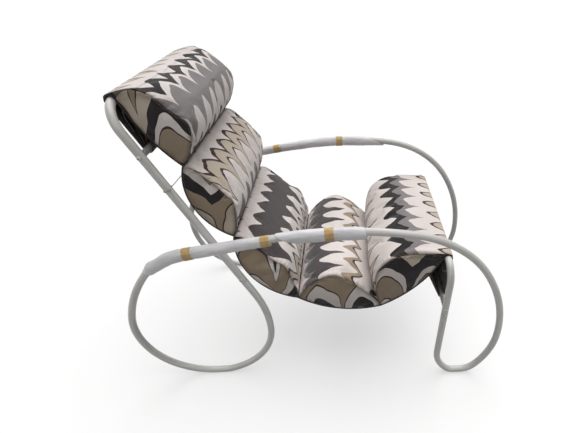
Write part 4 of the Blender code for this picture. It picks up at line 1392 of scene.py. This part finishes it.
def sleeve_rings(line, distances, out, full, spread, wrinkle, slants=(0.0, 0.0)):
    """Ovals round the tube that hang lower than it, wrinkled like thin foam.

    The slants cut back the underside of the first end and the top of the last end.
    """
    points = line.at(distances)
    along = unit(np.gradient(points, axis=0))
    side = np.array(out, float) - along * (along @ np.array(out, float))[:, None]
    side = unit(side)
    up = np.cross(along, side)
    up *= np.sign(up[:, 2:3])
    full = full[:, None]
    angles = circle(SLEEVE_SIDES)[None]
    top = TUBE_RADIUS + SLEEVE_TOP_WALL * full + spread
    bottom = TUBE_RADIUS + SLEEVE_SAG_WALL * full + spread
    width = TUBE_RADIUS + SLEEVE_SIDE_WALL * full + spread
    reach_up = (top + bottom) / 2 * np.sin(angles) + (top - bottom) / 2 + wrinkle * np.sin(angles)
    reach_out = width * np.cos(angles) + wrinkle * np.cos(angles)
    first = np.clip(1 - (distances - distances[0]) / SLANT_FADE, 0, 1)[:, None] * slants[0]
    last = np.clip(1 - (distances[-1] - distances) / SLANT_FADE, 0, 1)[:, None] * slants[1]
    middles = line.at(distances[:, None] + first * (1 - np.sin(angles)) / 2 - last * (1 + np.sin(angles)) / 2)
    return middles + side[:, None] * reach_out[..., None] + up[:, None] * reach_up[..., None]


def wrinkles(distances, tapes, seed):
    """Depth of the foam's wrinkles: long soft creases, with tight folds beside each tape band."""
    angles = circle(SLEEVE_SIDES)
    depth = np.zeros((len(distances), SLEEVE_SIDES))
    for i, distance in enumerate(distances):
        near = min([abs(distance - tape) for tape in tapes])
        pinch = math.exp(-max(0, near - TAPE_WIDTH / 2) / TAPE_PINCH_REACH)
        for j, angle in enumerate(angles):
            around = (math.cos(angle) * WRINKLE_ROUND, math.sin(angle) * WRINKLE_ROUND)
            spot = Vector((*around, distance * WRINKLE_RUN + seed))
            crease = noise.noise(spot) * LONG_CREASE + noise.noise(spot * WRINKLE_FINER) * SHORT_CREASE
            fold = math.sin(angle * TAPE_FOLDS + seed + 2 * noise.noise(spot)) * TAPE_FOLD
            depth[i, j] = crease * (1 - PINCH_SHARE * pinch) + pinch * (fold - TAPE_PINCH)
    return depth


def knuckle(distances, start):
    """A bulge and a dent on the upper side, where the foam is bent at the start of a rear sleeve."""
    upper = np.maximum(0, np.sin(circle(SLEEVE_SIDES)))[None]
    from_start = (distances - start)[:, None]
    bulge = KNUCKLE_BULGE * np.exp(-((from_start - KNUCKLE_BULGE_PLACE) / KNUCKLE_REACH) ** 2)
    dent = KNUCKLE_DENT * np.exp(-((from_start - KNUCKLE_DENT_PLACE) / KNUCKLE_REACH) ** 2)
    return (bulge - dent) * upper


def frayed(rings, end, step, pitch, seed, depth):
    """Uneven shift of the points of an end ring towards the next ring, as a torn edge has."""
    ragged = [abs(noise.noise(Vector((k * pitch, seed, end)))) for k in range(SLEEVE_SIDES)]
    return unit(rings[end + step] - rings[end]) * np.array(ragged)[:, None] * depth


def build_sleeve(name, line, sleeve, tapes, out, foam_finish, tape_finish, seed, slants):
    """A foam sleeve and the tape bands that hold it; tapes maps a name to the band's middle."""
    start, length, shares = sleeve
    distances = np.linspace(start, start + length, round(length / SLEEVE_STEP))
    full = np.interp((distances - start) / length, *zip(*shares))
    depth = wrinkles(distances, list(tapes.values()), seed)
    if slants == REAR_SLANTS:
        depth += knuckle(distances, start)
    outer = sleeve_rings(line, distances, out, full, 0.0, depth, slants)
    inner = sleeve_rings(line, distances, out, full * 0, FIT_GAP, depth * 0, slants)
    lips = []
    for end, step in ((0, 1), (-1, -1)):
        outer[end] += frayed(outer, end, step, SLEEVE_FRAY_PITCH, seed, SLEEVE_FRAY)
        lips.append(np.stack([outer[end], (outer[end] + inner[end]) / 2, inner[end]]))
    patches = [(*swept(outer, distances), 0), (*swept(inner, distances), 0)]
    patches += [(*swept(lip, SLEEVE_LIP_MARKS), 0) for lip in lips]
    piece = weld_patches(name + "_foam", patches, [foam_finish])
    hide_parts(name)
    for tape, middle in tapes.items():
        build_tape(tape, middle, line, sleeve, tapes, out, tape_finish, seed)


def build_tape(name, middle, line, sleeve, tapes, out, finish, seed):
    """One band of tape, pulled tight over the foam, with its loose end lapped over."""
    start, length, shares = sleeve
    distances = np.linspace(middle - TAPE_WIDTH / 2, middle + TAPE_WIDTH / 2, TAPE_POINTS)
    full = np.interp((distances - start) / length, *zip(*shares))
    depth = wrinkles(distances, list(tapes.values()), seed)
    turns = np.linspace(0, 1, SLEEVE_SIDES, endpoint=False)
    lap = np.where((turns > TAPE_LAP_SHARES[0]) & (turns < TAPE_LAP_SHARES[1]), TAPE_LAP, 0.0)[None]
    outer = sleeve_rings(line, distances, out, full, TAPE_FACES[0], depth + lap)
    inner = sleeve_rings(line, distances, out, full, TAPE_FACES[1], depth)
    for end, step in ((0, 1), (-1, -1)):
        shift = frayed(outer, end, step, TAPE_FRAY_PITCH, seed + 5, TAPE_FRAY)
        outer[end] += shift
        inner[end] += shift
    patches = [(*swept(outer, distances), 0), (*swept(inner, distances), 0)]
    for end in (0, -1):
        patches.append((*swept(np.stack([outer[end], inner[end]]), (0.0, 0.0005)), 0))
    piece = weld_patches(name + "_band", patches, [finish])
    piece.data.set_sharp_from_angle(angle=CLOTH_CREASE_ANGLE)
    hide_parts(name)


def build_sleeves(arm_lines, foam_finish, tape_finish):
    """Rear and front sleeves with three tape bands on each arm."""
    layouts = (
        (REAR_SLEEVE_LENGTH, SLEEVE_BARE_GAP, FRONT_SLEEVE_LENGTH, FRONT_TAPE_SETBACK,
         FRONT_FULLNESS_SHARES, FRONT_SLANTS),
        (LEFT_REAR_SLEEVE_LENGTH, LEFT_SLEEVE_BARE_GAP, LEFT_FRONT_SLEEVE_LENGTH,
         LEFT_FRONT_TAPE_SETBACK, LEFT_FRONT_FULLNESS_SHARES, LEFT_FRONT_SLANTS),
    )
    for number, ((side, sign), layout) in enumerate(zip(SIDES, layouts)):
        rear_length, bare_gap, front_length, front_tape_setback, front_shares, front_slants = layout
        line, arm_start = arm_lines[side]
        rear_start = arm_start - REAR_SLEEVE_BEFORE_ARM
        rear_end = rear_start + rear_length
        front_start = rear_end + bare_gap
        rear_tapes = {
            "rear_tape_" + side: rear_start + REAR_TAPE_SETBACK,
            "middle_tape_" + side: rear_end - JOIN_TAPE_SETBACK,
        }
        front_tapes = {"front_tape_" + side: front_start + front_tape_setback}
        sleeves = (
            ("rear", rear_start, rear_length, REAR_FULLNESS_SHARES, rear_tapes, REAR_SLANTS, REAR_SEED),
            ("front", front_start, front_length, front_shares, front_tapes, front_slants, FRONT_SEED),
        )
        for place, start, length, shares, tapes, slants, seed in sleeves:
            build_sleeve(place + "_arm_sleeve_" + side, line, (start, length, shares), tapes,
                         (0, sign, 0), foam_finish, tape_finish, seed + number, slants)


# Ties


def build_ties(layout, arcs, finish):
    """A thin cord looped and knotted round each back tube and led to the sling's edge."""
    place = layout["head_rod"] - layout["back_way"] * TIE_BELOW_ROD
    target = arcs[1].point(TIE_SEAM_SHARE)
    reach = half_width(1 + TIE_SEAM_SHARE) + CORD_RADIUS + FIT_GAP
    loop_radius = TUBE_RADIUS + FIT_GAP + CORD_RADIUS
    rise = 2 * CORD_RADIUS + 2 * FIT_GAP
    along = in_space(layout["back_way"], 0)
    ahead = np.array([along[2], 0, -along[0]])
    for side, sign in SIDES:
        centre = in_space(place, layout["back_plane"] * sign)
        out = np.array([0, sign, 0])
        points, swell = [], []
        for share in np.linspace(0, 1, TIE_LOOP_POINTS):
            angle = 2 * math.pi * TIE_TURNS * (share - 1)
            distance = share * 2 * math.pi * TIE_TURNS * loop_radius
            swell.append(KNOT_SWELL * math.exp(-((distance - KNOT_PLACE) / KNOT_REACH) ** 2))
            turned = ahead * math.cos(angle) + out * math.sin(angle)
            points.append(centre + turned * (loop_radius + swell[-1]) + along * rise * share)
        end = in_space(target, reach * sign)
        start = points[-1]
        points += [start + (end - start) * share for share in np.linspace(0, 1, TIE_RUN_POINTS)[1:]]
        radii = CORD_RADIUS + np.array(swell + [0.0] * (len(points) - len(swell)))
        piece = round_bar("tie_cord_line_" + side, points, radii, along, finish, CORD_SIDES)
        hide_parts("tie_cord_" + side)


# Studio


def placed(name, data, place, turn):
    """A lamp or camera in the scene."""
    holder = bpy.data.objects.new(name, data)
    bpy.context.scene.collection.objects.link(holder)
    holder.location = place
    holder.rotation_euler = turn
    return holder


def towards(step):
    """Turn of a lamp that shines along a step."""
    return Vector(step).to_track_quat("-Z", "Y").to_euler()


def build_lights():
    """A wide soft sun and a small lamp at the near side."""
    sun = bpy.data.lights.new("overhead_light", "SUN")
    sun.energy = SUN_LIGHT
    sun.angle = SUN_SPREAD
    placed("overhead_light", sun, (0, 0, 0), towards(SUN_WAY))
    lamp = bpy.data.lights.new("near_light", "AREA")
    lamp.shape = "DISK"
    lamp.size = NEAR_LIGHT_SIZE
    lamp.energy = NEAR_LIGHT
    placed("near_light", lamp, NEAR_LIGHT_PLACE, towards(Vector(NEAR_LIGHT_AIM) - Vector(NEAR_LIGHT_PLACE)))


def build_studio():
    """Floor, lights, surroundings and camera."""
    bpy.ops.mesh.primitive_plane_add(size=FLOOR_SIZE)
    floor = bpy.context.object
    floor.name = "studio_floor"
    floor.data.materials.append(floor_finish())
    build_lights()
    build_world()
    build_camera()
    bpy.context.scene.view_settings.view_transform = "Standard"


def build_world():
    """Surroundings that are white where they are seen, straight or in a shine, and dim as a light."""
    world = bpy.data.worlds.new("studio")
    bpy.context.scene.world = world
    world.use_nodes = True
    tree = world.node_tree
    path = tree.nodes.new("ShaderNodeLightPath").outputs
    direct = path["Is Camera Ray"]
    for ray in ("Is Glossy Ray", "Is Transmission Ray"):
        either = tree.nodes.new("ShaderNodeMath")
        either.operation = "MAXIMUM"
        tree.links.new(direct, either.inputs[0])
        tree.links.new(path[ray], either.inputs[1])
        direct = either.outputs[0]
    strength = tree.nodes.new("ShaderNodeMapRange")
    strength.inputs["To Min"].default_value = WORLD_LIGHT
    strength.inputs["To Max"].default_value = 1.0
    tree.links.new(direct, strength.inputs["Value"])
    background = tree.nodes["Background"]
    background.inputs["Color"].default_value = (1, 1, 1, 1)
    tree.links.new(strength.outputs[0], background.inputs["Strength"])


def build_camera():
    """The camera, fitted to the photo."""
    camera = bpy.data.cameras.new("camera")
    camera.lens = CAMERA_LENS
    camera.sensor_width = CAMERA_SENSOR
    camera.shift_x = CAMERA_SHIFT
    turn = (math.pi / 2 - CAMERA_DROP, 0, CAMERA_SWING)
    bpy.context.scene.camera = placed("camera", camera, CAMERA_PLACE, turn)


def dress_hidden_plugs(finish):
    """The plugs inside the tube joints keep their solids and get bare steel."""
    for name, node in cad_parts.items():
        if "spigot" in name:
            for slot in node.material_slots:
                slot.material = finish


def build():
    """All the pieces."""
    build_studio()
    metal = steel()
    layout = build_tubes(paint())
    build_rods(layout, metal)
    build_screws(layout, metal)
    dress_hidden_plugs(metal)
    path, arcs = lay_sling(layout)
    # The sling gets a darker copy of the print: partly its own colour, partly painted shade for where it lies
    # under the rolls.
    sling_print_and_shade = flame_cloth("sling_cloth_print_and_shade", SLING_BANDS, period=0.066, tooth=0.05, sway=0.20)
    wrap_cloth = flame_cloth("roll_wrap", WRAP_BANDS, period=0.060, tooth=0.056, sway=0.22)
    panel_cloth = flame_cloth("roll_panel", PANEL_BANDS, period=0.120, tooth=0.085, sway=0.26)
    build_sling(path, arcs, [sling_print_and_shade, binding()])
    rolls, marks = build_rolls(arcs, wrap_cloth, panel_cloth)
    build_leads(layout, rolls, marks, [wrap_cloth, panel_cloth])
    build_sleeves(layout["arm_lines"], foam(), tape())
    build_ties(layout, arcs, twine())


build()
